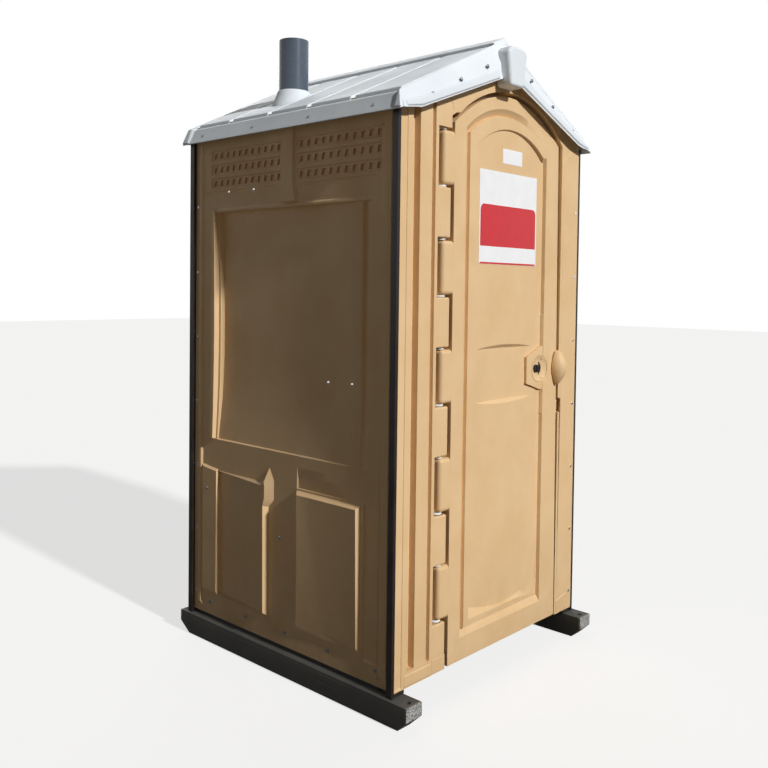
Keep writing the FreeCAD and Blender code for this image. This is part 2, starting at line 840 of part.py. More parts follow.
def lock_boss():
    """The raised pad on the door's face that carries the lock."""
    corners = [
        ("lock_left - lock_pad_left", "lock_height + lock_pad_left_half"),
        ("lock_left + lock_pad_peak", "lock_height + lock_pad_half"),
        ("lock_left + lock_pad_right", "lock_height + lock_pad_right_half"),
        ("lock_left + lock_pad_right", "lock_height - lock_pad_right_half"),
        ("lock_left + lock_pad_peak", "lock_height - lock_pad_half"),
        ("lock_left - lock_pad_left", "lock_height - lock_pad_left_half"),
    ]
    return prism("y", corners, (f"{front} - lock_boss", f"{front} + door_stile"), "lock_pad")


def door_shell():
    """The door's outer moulding: a tray with a sunk panel, the lock's pad and five hinge knuckles."""
    leaf = door_outline("0", (front, door_back))
    hollow = door_outline("door_sheet", (f"{front} + door_stile", f"{door_back} + door_sheet"))
    tray = cut(leaf, [hollow] + door_panel())
    barrels = []
    for i in range(5):
        centre = f"knuckle_first + {i} * knuckle_pitch"
        span = (f"{centre} - knuckle_length / 2", f"{centre} + knuckle_length / 2")
        barrels.append(knuckle(span))
        barrels.append(box(("-hinge_left", f"-{door_left} + door_sheet"), (front, door_back), span))
    whole = fuse([tray, lock_boss()] + barrels)
    disc_y = (f"{front} - lock_boss", f"{front} - lock_boss + disc_sheet + 2 * disc_play")
    disc_room = rod("y", lock_centre, disc_y, "disc_radius + 4 * disc_play")
    bore = rod("y", lock_centre, (disc_y[0], door_back), "spindle_radius + spindle_play")
    hinge_bore = rod("z", ("-hinge_left", hinge_back), (0, "ridge_height"), "rod_radius + rod_play")
    return cut(whole, [disc_room, bore, hinge_bore])


def door_liner():
    """The inner skin that closes the back of the door."""
    skin = door_outline("door_sheet", (f"{door_back} - door_sheet", door_back))
    bore = rod("y", lock_centre, (front, f"{door_back} + door_sheet"), "spindle_radius + spindle_play")
    return cut(skin, [bore])


def bushes():
    """White spacer rings in the gaps between the hinge's knuckles."""
    rings = []
    for i in range(5):
        for sign in (-1, 1):
            end = f"knuckle_first + {i} * knuckle_pitch + {sign} * knuckle_length / 2"
            near = f"{end} + {sign} * bush_play"
            far = f"{end} + {sign} * knuckle_gap"
            span = (near, far) if sign > 0 else (far, near)
            ring = rod("z", ("-hinge_left", hinge_back), span, "bush_radius")
            rings.append(cut(ring, [rod("z", ("-hinge_left", hinge_back), span, "rod_radius")]))
    return group(rings)


def lock_plate():
    """The round cover over the indicator, with a curved window and the spindle's hole."""
    span = (f"{front} - lock_boss - dish_sheet", f"{front} - lock_boss")
    dish = rod("y", ("lock_left + dish_offset", "lock_height"), span, "dish_radius")
    ring = cut(rod("y", lock_centre, span, "window_outer"), [rod("y", lock_centre, span, "window_inner")])
    window_x = ("lock_left + window_inner / 2", "lock_left + 2 * window_outer")
    window_z = ("lock_height - window_outer", "lock_height + window_outer")
    window = common(ring, box(window_x, span, window_z))
    return cut(dish, [window, rod("y", lock_centre, span, "spindle_radius + spindle_play")])


def latch_parts():
    """The turning parts of the lock: spindle with a slotted head, indicator disc, arm and knob."""
    lock_face = f"{front} - lock_boss - dish_sheet"
    head_y = (f"{lock_face} - disc_play - coin_head", f"{lock_face} - disc_play")
    shaft = rod("y", lock_centre, (head_y[1], f"{front} + spindle_reach"), "spindle_radius")
    head = rod("y", lock_centre, head_y, "coin_head_radius")
    slot = box(
        ("lock_left - coin_head_radius", "lock_left + coin_head_radius"),
        (head_y[0], f"{head_y[0]} + coin_head / 2"),
        ("lock_height - coin_slot / 2", "lock_height + coin_slot / 2"),
    )
    spindle = cut(fuse([shaft, head]), [slot])
    disc_y = (f"{front} - lock_boss + disc_play", f"{front} - lock_boss + disc_play + disc_sheet")
    disc = cut(rod("y", lock_centre, disc_y, "disc_radius"), [rod("y", lock_centre, disc_y, "spindle_radius")])
    arm_y = (f"{door_back} + arm_gap", f"{door_back} + arm_gap + arm_sheet")
    hub = rod("y", lock_centre, (f"{door_back} + disc_play", arm_y[1]), "hub_radius")
    blade_x = ("lock_left - arm_width / 2", "lock_left + arm_width / 2")
    blade = box(blade_x, arm_y, ("lock_height", "lock_height + arm_length"))
    arm = cut(fuse([hub, blade]), [rod("y", lock_centre, (door_back, arm_y[1]), "spindle_radius")])
    knob_y = (arm_y[1], f"{arm_y[1]} + knob_depth")
    grip = rod("y", lock_centre, knob_y, "knob_radius")
    lever_x = ("lock_left - lever_half", "lock_left + lever_half")
    lever = box(lever_x, knob_y, ("lock_height - knob_lever", "lock_height"))
    knob = cut(fuse([grip, lever]), [rod("y", lock_centre, knob_y, "spindle_radius")])
    return spindle, disc, arm, knob


def strike():
    """The block behind the right jamb that the latch arm turns behind."""
    low = "door_right + door_gap + wall_sheet"
    return box((low, f"{low} + strike_width"), (f"{frame_back} - strike_depth", frame_back),
               ("lock_height - strike_height / 2", "lock_height + strike_height / 2"))


def pull_handle():
    """The rounded pull on the door's free edge: a hollow half shell on a foot, reaching over the frame."""
    face = f"{front} - pull_gap"
    shell = doc.addObject("Part::Ellipsoid", "pull_bulge")
    hollow = doc.addObject("Part::Ellipsoid", "pull_hollow_space")
    for item, less in ((shell, "0"), (hollow, "pull_hollow")):
        place(item, x="pull_left", y=face, z="pull_height")
        drive(item, Radius1=f"pull_half_height - {less}", Radius2=f"pull_half_width - {less}")
        drive(item, Radius3=f"pull_proud - {less}")
    window = box(
        ("pull_left - 2 * pull_half_width", "pull_left + 2 * pull_half_width"),
        (f"{face} - 2 * pull_proud", face),
        ("pull_height - 2 * pull_half_height", "pull_height + 2 * pull_half_height"),
    )
    foot = ("pull_foot_left", "pull_height")
    core = rod("y", foot, (f"{face} - 2 * pull_proud", f"{face} + pull_proud"), "pull_foot_radius")
    post = rod("y", foot, (f"{face} - seam", front), "pull_foot_radius")
    return fuse([cut(common(shell, window), [cut(hollow, [core])]), post])


def grab_handle():
    """The grab bar on the door's inner face: two feet and a bar."""
    y = f"{door_back} + grab_reach"
    bar = rod("z", ("-grab_left", y), ("grab_foot", "grab_head"), "grab_radius")
    feet = [
        rod("y", ("-grab_left", height), (door_back, f"{y} + grab_radius"), "grab_radius")
        for height in ("grab_foot + grab_radius", "grab_head - grab_radius")
    ]
    return fuse([bar] + feet)


def flat_plate(left, right, foot, head, thickness):
    face = f"{front} + door_panel_depth"
    return box((left, right), (f"{face} - {thickness}", face), (foot, head))


def roof_outline(inset):
    """The roof's cross-section, drawn in by a sheet's thickness for the inside."""
    drop = roof_drop if inset != "0" else "0"
    half_width = f"(roof_half - {inset})"
    lip = f"(roof_half + roof_lip - {inset})"
    base = f"(roof_base - {inset})"
    side_head = f"(eave_height + {inset} * {pitch_rise} - {drop})"
    return [
        (f"-{lip}", base),
        (lip, base),
        (half_width, "roof_base + roof_lip_rise"),
        (half_width, side_head),
        (0, f"ridge_height - {drop}"),
        (f"-{half_width}", side_head),
        (f"-{half_width}", "roof_base + roof_lip_rise"),
    ]


def roof_panels():
    """The flat raised panels on both slopes, each from the eave to the ridge cap, with grooves between."""
    panels = []
    count = 6
    start = f"({front} - overhang_front)"
    length = "(body_depth + overhang_front + overhang_back)"
    span = f"({length} / {count})"
    rise = f"(roof_rib * sqrt(1 + {pitch_rise} ^ 2))"
    for i in range(count):
        y = (f"{start} + {i} * {span} + roof_rib_gap / 2", f"{start} + {i + 1} * {span} - roof_rib_gap / 2")
        for side in (-1, 1):
            low = f"{side} * (roof_half - roof_rib_gap)"
            corners = [
                (low, f"eave_height + roof_rib_gap * {pitch_rise} - seam"),
                (0, "ridge_height - seam"),
                (0, f"ridge_height + {rise}"),
                (low, f"eave_height + roof_rib_gap * {pitch_rise} + {rise}"),
            ]
            panels.append(prism("y", corners, y, "roof_panel"))
    return panels


def gable_screw_places():
    """Three screws on each side of the gable, in line with the roof's slope."""
    places = []
    for sign in (-1, 1):
        for i in range(3):
            x = f"gable_screw_first + {i} * gable_screw_pitch"
            z = f"ridge_height - ({x}) * {pitch_rise} - gable_screw_drop"
            places.append((f"{sign} * ({x})", z))
    return places


def skirt_screw_places():
    return [(f"{middle} + {i} * skirt_screw_pitch", "skirt_screw_height") for i in (-1.5, -0.5, 0.5, 1.5)]


def roof():
    """The roof moulding: a gabled shell with raised panels, ridge cap, nose, screw bosses and pipe boot."""
    y_low = f"{front} - overhang_front"
    y_high = f"{back} + overhang_back"
    outside = prism("y", roof_outline("0"), (y_low, y_high), "roof_outside")
    inside_y = (f"{y_low} + roof_sheet", f"{y_high} - roof_sheet")
    inside_space = prism("y", roof_outline("roof_sheet"), inside_y, "roof_inside")
    under_gable = [
        ("-roof_half - roof_lip", "roof_base - gable_cut"),
        ("roof_half + roof_lip", "roof_base - gable_cut"),
        ("roof_half - roof_sheet", "roof_base + roof_sheet"),
        ("gable_foot", "gable_foot_height"),
        (0, "gable_peak_height"),
        ("-gable_foot", "gable_foot_height"),
        ("-roof_half + roof_sheet", "roof_base + roof_sheet"),
    ]
    beyond = (f"{y_low} - seam", f"{y_high} + seam")
    clear_x = ("-roof_half + roof_sheet", "roof_half - roof_sheet")
    ends_open = common(
        prism("y", under_gable, beyond, "gable_opening"),
        box(clear_x, beyond, ("roof_base - gable_cut", "ridge_height")),
    )
    cap_rise = "(ridge_cap_rise + roof_rib)"
    cap = prism("y", [
        ("-ridge_cap_half", f"ridge_height - ridge_cap_half * {pitch_rise} - seam"),
        (0, "ridge_height - seam"),
        ("ridge_cap_half", f"ridge_height - ridge_cap_half * {pitch_rise} - seam"),
        ("ridge_cap_half", f"ridge_height - ridge_cap_half * {pitch_rise} + {cap_rise}"),
        (0, f"ridge_height + {cap_rise}"),
        ("-ridge_cap_half", f"ridge_height - ridge_cap_half * {pitch_rise} + {cap_rise}"),
    ], (y_low, y_high), "ridge_cap")
    nose = prism("y", [
        ("-nose_half_foot", "ridge_height - nose_height - ridge_cap_half"),
        ("nose_half_foot", "ridge_height - nose_height - ridge_cap_half"),
        ("nose_half_top", f"ridge_height - nose_half_top * {pitch_rise}"),
        (0, "ridge_height"),
        ("-nose_half_top", f"ridge_height - nose_half_top * {pitch_rise}"),
    ], (f"{y_low} - nose_proud + roof_sheet", f"{y_low} + roof_sheet"), "nose")
    bosses = []
    for centre in gable_screw_places():
        bosses.append(rod("y", centre, (f"{y_low} + seam", front), "boss_radius"))
        bosses.append(rod("y", centre, (back, f"{y_high} - seam"), "boss_radius"))
    for centre in skirt_screw_places():
        bosses.append(rod("x", centre, ("-roof_half + seam", f"-{half}"), "boss_radius"))
        bosses.append(rod("x", centre, (half, "roof_half - seam"), "boss_radius"))
    shell = cut(cut(outside, [inside_space]), [ends_open])
    boot = doc.addObject("Part::Cone", "pipe_boot")
    boot_foot = f"(ridge_height - (pipe_left + boot_foot_radius) * {pitch_rise})"
    place(boot, x="-pipe_left", y="pipe_back", z=boot_foot)
    drive(boot, Radius1="boot_foot_radius", Radius2="pipe_radius + roof_sheet")
    drive(boot, Height=f"boot_top - {boot_foot}")
    below = prism("y", [
        ("-roof_half + roof_sheet", "roof_base"),
        (0, "roof_base"),
        (0, inner_peak),
        ("-roof_half + roof_sheet", f"eave_height + roof_sheet * {pitch_rise} - {roof_drop}"),
    ], (y_low, y_high), "under_slope")
    whole = fuse([shell, cap, nose] + roof_panels() + bosses + [cut(boot, [below])])
    bore = rod("z", ("-pipe_left", "pipe_back"), ("roof_base", "pipe_top"), "pipe_radius")
    screw_holes = group(gable_shanks["front"] + gable_shanks["back"] + skirt_shanks + right_skirt_shanks)
    return cut(whole, [bore, screw_holes])


def vent_pipe():
    centre = ("-pipe_left", "pipe_back")
    span = ("pipe_foot", "pipe_top")
    return cut(rod("z", centre, span, "pipe_radius"), [rod("z", centre, span, "pipe_radius - pipe_wall")])


def holding_tank():
    """The waste tank: an open tub on the floor."""
    x = ("-tank_half", "tank_half")
    z = ("floor_top", "deck_top - deck_sheet")
    tub = box(x, ("tank_front", "tank_back"), z)
    hollow = box(
        (f"{x[0]} + tank_wall", f"{x[1]} - tank_wall"),
        ("tank_front + tank_wall", "tank_back - tank_wall"),
        ("floor_top + tank_wall", "deck_top"),
    )
    inlet = rod("y", (drain_x, drain_z), ("tank_front - seam", "tank_front + 2 * tank_wall"), "drain_radius")
    return cut(tub, [hollow, inlet])


def tank_deck():
    """The deck over the tank, with a locating lip, the seat's hole and the pipe's hole."""
    top = box(("-tank_half", "tank_half"), ("tank_front", "tank_back"), ("deck_top - deck_sheet", "deck_top"))
    lip_x = ("-tank_half + tank_wall", "tank_half - tank_wall")
    lip_y = ("tank_front + tank_wall", "tank_back - tank_wall")
    lip_z = ("deck_top - deck_sheet - deck_lip_drop", "deck_top - deck_sheet")
    room = box(
        (f"{lip_x[0]} + deck_lip", f"{lip_x[1]} - deck_lip"),
        (f"{lip_y[0]} + deck_lip", f"{lip_y[1]} - deck_lip"),
        lip_z,
    )
    lip = cut(box(lip_x, lip_y, lip_z), [room])
    z = ("deck_top - 2 * deck_sheet", "deck_top + seam")
    hole = [rod("z", (0, "seat_back"), z, "seat_hole_radius"),
            box(("-seat_hole_radius", "seat_hole_radius"), ("seat_back", "seat_back + seat_hole_run"), z)]
    pipe_hole = rod("z", ("-pipe_left", "pipe_back"), z, "pipe_radius")
    return cut(fuse([top, lip]), hole + [pipe_hole])


def grommet():
    span = ("deck_top", "deck_top + grommet_rise")
    ring = rod("z", ("-pipe_left", "pipe_back"), span, "pipe_radius + grommet_wall")
    return cut(ring, [rod("z", ("-pipe_left", "pipe_back"), span, "pipe_radius")])


def ears(start, pin, stretch, top, play):
    """A pair of hinge ears on the seat's pin, joined to what lies in front of them."""
    solids = []
    for sign in (-1, 1):
        low, high = start, f"{start} + ear_width"
        if sign < 0:
            low, high = f"-({start}) - ear_width", f"-({start})"
        solids.append(rod("x", pin, (low, high), "ear_radius"))
        solids.append(box((low, high), (f"{pin[0]} - ({stretch})", pin[0]), top))
        solids.append(box((low, high), (f"{pin[0]} - ear_radius", pin[0]), (pin[1], top[1])))
    return solids, rod("x", pin, ("-tank_half", "tank_half"), f"seat_pin_radius + {play}")


def rounded_slab(centre, back_edge, z):
    """The seat's outline: round in front and straight at the back."""
    trimmed = common(rod("z", (0, centre), z, "seat_radius"),
                     box(("-seat_radius", "seat_radius"), (f"{centre} - seat_radius", back_edge), z))
    return [trimmed, box(("-seat_radius", "seat_radius"), (centre, back_edge), z)]


def toilet_seat():
    """The seat ring, hinged at the back on a pin."""
    z = ("deck_top + seat_play", "deck_top + seat_play + seat_sheet")
    back_edge = "seat_back + seat_run"
    slab = rounded_slab("seat_back", back_edge, z)
    hole = [rod("z", (0, "seat_back"), z, "seat_hole_radius"),
            box(("-seat_hole_radius", "seat_hole_radius"), ("seat_back", "seat_back + seat_hole_run"), z)]
    pin = ("seat_pin_back", pin_height)
    stretch = f"seat_pin_back - ({back_edge}) + ear_overlap"
    level = (f"{pin_height} - ear_radius / 2", z[1])
    solids, bore = ears("seat_ear_start", pin, stretch, level, "seat_pin_play")
    return cut(fuse(slab + solids), hole + [bore])


def seat_lid():
    """The lid, drawn about its pin as if closed and then leaned back."""
    seat_top = "(seat_play + seat_sheet - seat_pin_rise + lid_play)"
    z = (seat_top, f"{seat_top} + lid_sheet")
    centre = "(seat_back - seat_pin_back)"
    back_edge = f"({centre} + seat_run)"
    slab = rounded_slab(centre, back_edge, z)
    solids, bore = ears("lid_ear_start", ("0", "0"), f"-{back_edge} + ear_overlap", z, "seat_pin_play")
    lid = cut(fuse(slab + solids), [bore])
    lid.Placement = Placement(Vector(), Rotation(Vector(1, 0, 0), -sizes["lid_lean"]))
    place(lid, y="seat_pin_back", z=pin_height)
    return lid


def seat_posts():
    """The two blocks on the deck that hold the seat's pin."""
    blocks = []
    for sign in (-1, 1):
        x = ("post_ear_start", "post_ear_start + ear_width")
        if sign < 0:
            x = ("-post_ear_start - ear_width", "-post_ear_start")
        foot_y = ("seat_pin_back - ear_radius", "seat_pin_back + ear_radius")
        foot = box(x, foot_y, ("deck_top", pin_height))
        ear = rod("x", ("seat_pin_back", pin_height), x, "ear_radius")
        blocks.append(cut(fuse([foot, ear]), [seat_pin_shape]))
    return group(blocks)


def urinal():
    """The urinal on the left wall: a back plate and a bowl open at the top."""
    wall = f"-{panel_face}"
    y = ("urinal_back - urinal_half", "urinal_back + urinal_half")
    plate = box((wall, f"{wall} + urinal_wall"), y, ("urinal_foot", "urinal_head"))
    bowl = box((wall, f"{wall} + urinal_reach"), y, ("urinal_foot", "urinal_rim"))
    hollow = box(
        (f"{wall} + urinal_wall", f"{wall} + urinal_reach - urinal_wall"),
        (f"{y[0]} + urinal_wall", f"{y[1]} - urinal_wall"),
        ("urinal_foot + urinal_wall", "urinal_rim + seam"),
    )
    outlet_z = ("urinal_foot - seam", "urinal_foot + 2 * urinal_wall")
    outlet = rod("z", (drain_x, "urinal_back"), outlet_z, "drain_radius - drain_wall")
    return cut(fuse([plate, bowl]), [hollow, outlet])


def urinal_drain():
    """The drain: down from the bowl, round an elbow and back into the tank."""
    upright, level = (drain_x, "urinal_back"), (drain_x, drain_z)
    z = (drain_z, "urinal_foot")
    y = ("urinal_back", "tank_front + tank_wall")
    elbow = doc.addObject("Part::Sphere", "drain_elbow")
    place(elbow, x=drain_x, y="urinal_back", z=drain_z)
    drive(elbow, Radius="drain_radius")
    outside = fuse([rod("z", upright, z, "drain_radius"), rod("y", level, y, "drain_radius"), elbow])
    bore = "drain_radius - drain_wall"
    return cut(outside, [rod("z", upright, z, bore), rod("y", level, y, bore)])


def paper_holder():
    """The paper holder on the right wall: a plate with three arms and the rod through them."""
    reach = "(paper_roll_length + 2 * paper_roll_gap + paper_arm)"
    plate = box(
        (f"{panel_face} - paper_plate", panel_face),
        (f"paper_back - {reach} - paper_arm / 2", f"paper_back + {reach} + paper_arm / 2"),
        ("paper_height - paper_plate_half", "paper_height + paper_plate_half"),
    )
    arm_x = (f"{paper_x} - 2 * paper_rod_radius", panel_face)
    arm_z = ("paper_height - 2 * paper_rod_radius", "paper_height + 2 * paper_rod_radius")
    arms = []
    for i in (-1, 0, 1):
        centre = f"paper_back + {i} * {reach}"
        arms.append(box(arm_x, (f"{centre} - paper_arm / 2", f"{centre} + paper_arm / 2"), arm_z))
    return cut(fuse([plate] + arms), [paper_rod_shape])


def paper_roll(sign):
    low = "paper_back + paper_arm / 2 + paper_roll_gap"
    if sign < 0:
        low = "paper_back - paper_arm / 2 - paper_roll_gap - paper_roll_length"
    span = (low, f"{low} + paper_roll_length")
    centre = (paper_x, "paper_height")
    roll = cut(rod("y", centre, span, "paper_roll_radius"), [rod("y", centre, span, "paper_core_radius")])
    bore = rod("y", centre, span, "paper_rod_radius + paper_bush_play")
    return roll, cut(rod("y", centre, span, "paper_core_radius"), [bore])


def coat_hook():
    """The coat hook strip on the left wall, with two pegs."""
    wall = f"-{inside}"
    strip = box(
        (wall, f"{wall} + hook_plate"),
        ("hook_back - hook_half", "hook_back + hook_half"),
        ("hook_height - hook_plate_half", "hook_height + hook_plate_half"),
    )
    pegs = []
    for sign in (-1, 1):
        centre = (f"hook_back + {sign} * hook_half / 2", "hook_height")
        pegs.append(rod("x", centre, (wall, f"{wall} + hook_peg"), "hook_peg_radius"))
    return fuse([strip] + pegs)


# Fasteners come first, because what they pass through is drilled with their shanks
front_rivet_places = [("rivet_front_offset", f"rivet_first + {i} * rivet_pitch") for i in range(8)]
back_rivet_places = [("-rivet_front_offset", f"rivet_first + {i} * rivet_pitch") for i in range(8)]
side_rivet_places = [("rivet_side_offset", f"rivet_first + {i} * rivet_pitch") for i in range(7)]
side_floor_places = [(f"{i} * floor_screw_pitch", "floor_screw_height") for i in (-2, -1, 0, 1, 2)]
back_floor_places = [(f"{i} * floor_screw_pitch", "floor_screw_height") for i in (-1.5, -0.5, 0.5, 1.5)]
rivet_length = "wall_sheet + post_sheet"
rivet_sizes = (rivet_length, "rivet_radius", "rivet_head_radius", "rivet_head")
screw_sizes = ("screw_radius", "screw_head_radius", "screw_head")

rivets = {
    "front": fasteners("y", -1, front_rivet_places, front, *rivet_sizes),
    "back": fasteners("y", 1, back_rivet_places, back, *rivet_sizes),
    "left": fasteners("x", -1, side_rivet_places, f"-{half}", *rivet_sizes),
    "right": fasteners("x", 1, side_rivet_places, half, *rivet_sizes),
}
rivet_shanks = {side: shanks for side, (wholes, shanks) in rivets.items()}

front_screw_face = f"{front} - overhang_front"
back_screw_face = f"{back} + overhang_back"
front_screw_length = "overhang_front + wall_sheet + screw_bite"
back_screw_length = "overhang_back + wall_sheet + screw_bite"
gable_screws = {
    "front": fasteners("y", -1, gable_screw_places(), front_screw_face, front_screw_length, *screw_sizes),
    "back": fasteners("y", 1, gable_screw_places(), back_screw_face, back_screw_length, *screw_sizes),
}
gable_shanks = {side: shanks for side, (wholes, shanks) in gable_screws.items()}

skirt_sizes = (f"roof_half - {inside} + screw_bite", *screw_sizes)
skirt_screws, skirt_shanks = fasteners("x", -1, skirt_screw_places(), "-roof_half", *skirt_sizes)
right_skirt_screws, right_skirt_shanks = fasteners("x", 1, skirt_screw_places(), "roof_half", *skirt_sizes)

foot_sizes = ("wall_sheet + floor_sheet", *screw_sizes)
side_floor_screws, side_floor_shanks = fasteners("x", -1, side_floor_places, f"-{half}", *foot_sizes)
right_floor_screws, right_floor_shanks = fasteners("x", 1, side_floor_places, half, *foot_sizes)
back_floor_screws, back_floor_shanks = fasteners("y", 1, back_floor_places, back, *foot_sizes)
floor_screw_shanks = side_floor_shanks + right_floor_shanks + back_floor_shanks

bolt_head_foot = "floor_top - screw_head"
bolt_length = f"{bolt_head_foot} - skid_height + skid_bolt_depth"
bolt_sizes = (bolt_length, "skid_bolt_radius", "skid_bolt_head", "screw_head")
bolts, bolt_shanks = {}, {}
for side in (-1, 1):
    bolt_x = f"{side} * (skid_spread - skid_width / 4)"
    bolt_places = [(bolt_x, f"{sign} * skid_bolt_reach") for sign in (-1, 1)]
    bolts[side], bolt_shanks[side] = fasteners("z", 1, bolt_places, bolt_head_foot, *bolt_sizes)

rod_span = ("rod_foot", f"{bay_head} + 3 * wall_sheet")
hinge_rod_shape = rod("z", ("-hinge_left", hinge_back), rod_span, "rod_radius", "hinge_pin")
seat_pin_span = ("-post_ear_start - ear_width", "post_ear_start + ear_width")
seat_pin_shape = rod("x", ("seat_pin_back", pin_height), seat_pin_span, "seat_pin_radius", "seat_pin_rod")
paper_reach = "(paper_roll_length + 2 * paper_roll_gap + 1.5 * paper_arm)"
paper_rod_span = (f"paper_back - {paper_reach}", f"paper_back + {paper_reach}")
paper_rod_shape = rod("y", (paper_x, "paper_height"), paper_rod_span, "paper_rod_radius", "paper_bar")

# The base
piece("skid_left", skid(-1))
piece("skid_right", skid(1))
piece("skid_bolts", group(bolts[-1] + bolts[1]))
piece("floor_pan", floor())
piece("floor_screws", group(side_floor_screws + right_floor_screws + back_floor_screws))

# The posts and walls
front_left = piece("corner_post_front_left", corner_post())
plain_front_right = mirrored(front_left, Vector(1, 0, 0))
plain_back_left = mirrored(front_left, Vector(0, 1, 0), middle)
plain_back_right = mirrored(plain_back_left, Vector(1, 0, 0))
piece("corner_post_front_right", cut(plain_front_right, [group(rivet_shanks["front"])]))
piece("corner_post_back_left", cut(plain_back_left, [group(rivet_shanks["left"] + rivet_shanks["back"])]))
piece("corner_post_back_right", cut(plain_back_right, [group(rivet_shanks["right"])]))
left_wall = piece("wall_left", side_wall())
piece("wall_right", mirrored(left_wall, Vector(1, 0, 0)))
piece("wall_back", back_wall())
piece("front_frame", front_frame())
piece("corner_rivets", group([whole for side in rivets for whole in rivets[side][0]]))

# The roof and the vent pipe
piece("roof_shell", roof())
all_gable_screws = gable_screws["front"][0] + gable_screws["back"][0]
piece("roof_screws", group(all_gable_screws + skirt_screws + right_skirt_screws))
piece("vent_pipe", vent_pipe())

# The door, its hinge and its lock
piece("door_shell", door_shell())
piece("door_liner", door_liner())
piece("hinge_rod", hinge_rod_shape)
piece("hinge_bushes", bushes())
piece("pull_handle", pull_handle())
piece("grab_handle", grab_handle())
piece("number_plate", flat_plate("plate_left", "plate_right", "plate_foot", "plate_head", "plate_sheet"))
sticker_size = ("-sticker_left", "sticker_right", "sticker_foot", "sticker_head", "sticker_sheet")
piece("door_sticker", flat_plate(*sticker_size))
piece("lock_plate", lock_plate())
spindle, disc, arm, knob = latch_parts()
piece("latch_spindle", spindle)
piece("indicator_disc", disc)
piece("latch_arm", arm)
piece("latch_knob", knob)
piece("strike_block", strike())

# The tank and the seat
piece("holding_tank", holding_tank())
piece("tank_deck", tank_deck())
piece("pipe_grommet", grommet())
piece("toilet_seat", toilet_seat())
piece("seat_lid", seat_lid())
piece("seat_pin", seat_pin_shape)
piece("seat_posts", seat_posts())

# The fittings on the walls
piece("urinal", urinal())
piece("urinal_drain", urinal_drain())
piece("paper_holder", paper_holder())
piece("paper_rod", paper_rod_shape)
for name, sign in (("front", -1), ("back", 1)):
    roll, core = paper_roll(sign)
    piece(f"paper_roll_{name}", roll)
    piece(f"paper_core_{name}", core)
piece("coat_hook", coat_hook())

doc.recompute()

for item in doc.Objects:
    if "Invalid" in item.State or "Error" in item.State:
        raise ValueError(f"{item.Label} ({item.Name}) did not build: {item.State}")
for item in pieces:
    if item.Shape.isNull() or not item.Shape.isValid():
        raise ValueError(f"{item.Label} has no valid shape")

os.makedirs("parts", exist_ok=True)
for item in pieces:
    item.Shape.exportStep(f"parts/{item.Label}.step")
    print(item.Label, len(item.Shape.Solids), round(item.Shape.Volume / 1000, 1), "cm3")
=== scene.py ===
import json
import math
import bmesh
import bpy
from mathutils import Matrix, Vector


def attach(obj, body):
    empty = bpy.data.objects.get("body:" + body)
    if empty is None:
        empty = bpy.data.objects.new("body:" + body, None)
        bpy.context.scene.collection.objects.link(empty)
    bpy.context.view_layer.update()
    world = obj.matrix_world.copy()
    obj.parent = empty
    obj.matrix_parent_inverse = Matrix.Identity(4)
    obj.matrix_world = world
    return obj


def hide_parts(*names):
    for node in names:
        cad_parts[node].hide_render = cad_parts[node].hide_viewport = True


# A portable toilet cabin. Lengths in this file are millimetres, turned to metres when a piece is finished.
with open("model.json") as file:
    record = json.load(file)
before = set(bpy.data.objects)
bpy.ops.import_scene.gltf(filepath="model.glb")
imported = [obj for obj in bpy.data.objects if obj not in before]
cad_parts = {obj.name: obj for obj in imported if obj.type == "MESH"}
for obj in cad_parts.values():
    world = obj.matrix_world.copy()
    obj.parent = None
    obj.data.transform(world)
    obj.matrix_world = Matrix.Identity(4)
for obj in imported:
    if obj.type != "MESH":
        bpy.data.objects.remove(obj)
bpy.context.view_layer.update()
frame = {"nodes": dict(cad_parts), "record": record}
nodes = frame["nodes"]
print("frame loaded,", len(nodes), "nodes")


def linearColour(hexText):  # sRGB hex to the linear values that Blender stores
    values = [int(hexText[i:i + 2], 16) / 255 for i in (1, 3, 5)]
    return [v / 12.92 if v <= 0.04045 else ((v + 0.055) / 1.055) ** 2.4 for v in values] + [1]


def addNode(tree, kind, inputs=None, out=0, **settings):
    # makes one shader node, links or sets its inputs and gives back one of its outputs
    item = tree.nodes.new("ShaderNode" + kind)
    for key, value in settings.items():
        setattr(item, key, value)
    for key, value in (inputs or {}).items():
        if isinstance(value, bpy.types.NodeSocket):
            tree.links.new(value, item.inputs[key])
        else:
            item.inputs[key].default_value = value
    return item.outputs[out] if item.outputs else None


def mathNode(tree, first, second, operation):
    return addNode(tree, "Math", {0: first, 1: second}, operation=operation)


def noiseNode(tree, place, scale, detail=4, roughness=0.5):
    return addNode(tree, "TexNoise", {"Vector": place, "Scale": scale, "Detail": detail, "Roughness": roughness})


def spreadNode(tree, value, fromLow, fromHigh, toLow=0.0, toHigh=1.0):
    return addNode(tree, "MapRange", {"Value": value, "From Min": fromLow, "From Max": fromHigh, "To Min": toLow,
                                      "To Max": toHigh})


def blendNode(tree, factor, first, second):  # each colour is a hex text or another node's output
    first, second = (linearColour(c) if isinstance(c, str) else c for c in (first, second))
    return addNode(tree, "Mix", {"Factor": factor, 6: first, 7: second}, out=2, data_type="RGBA")


def emptyTree(holder):
    holder.use_nodes = True
    holder.node_tree.nodes.clear()
    return holder.node_tree


def startMaterial(name):
    material = bpy.data.materials.new(name)
    tree = emptyTree(material)
    return material, tree, addNode(tree, "TexCoord", out="Object")


def endMaterial(tree, colour, roughness, height, relief, others=None):
    # relief is the strength and the depth in metres of the fine bumps
    strength, distance = relief
    bump = addNode(tree, "Bump", {"Height": height, "Strength": strength, "Distance": distance})
    shader = addNode(tree, "BsdfPrincipled", {"Base Color": colour, "Roughness": roughness, "Normal": bump,
                                              **(others or {})})
    addNode(tree, "OutputMaterial", {"Surface": shader})


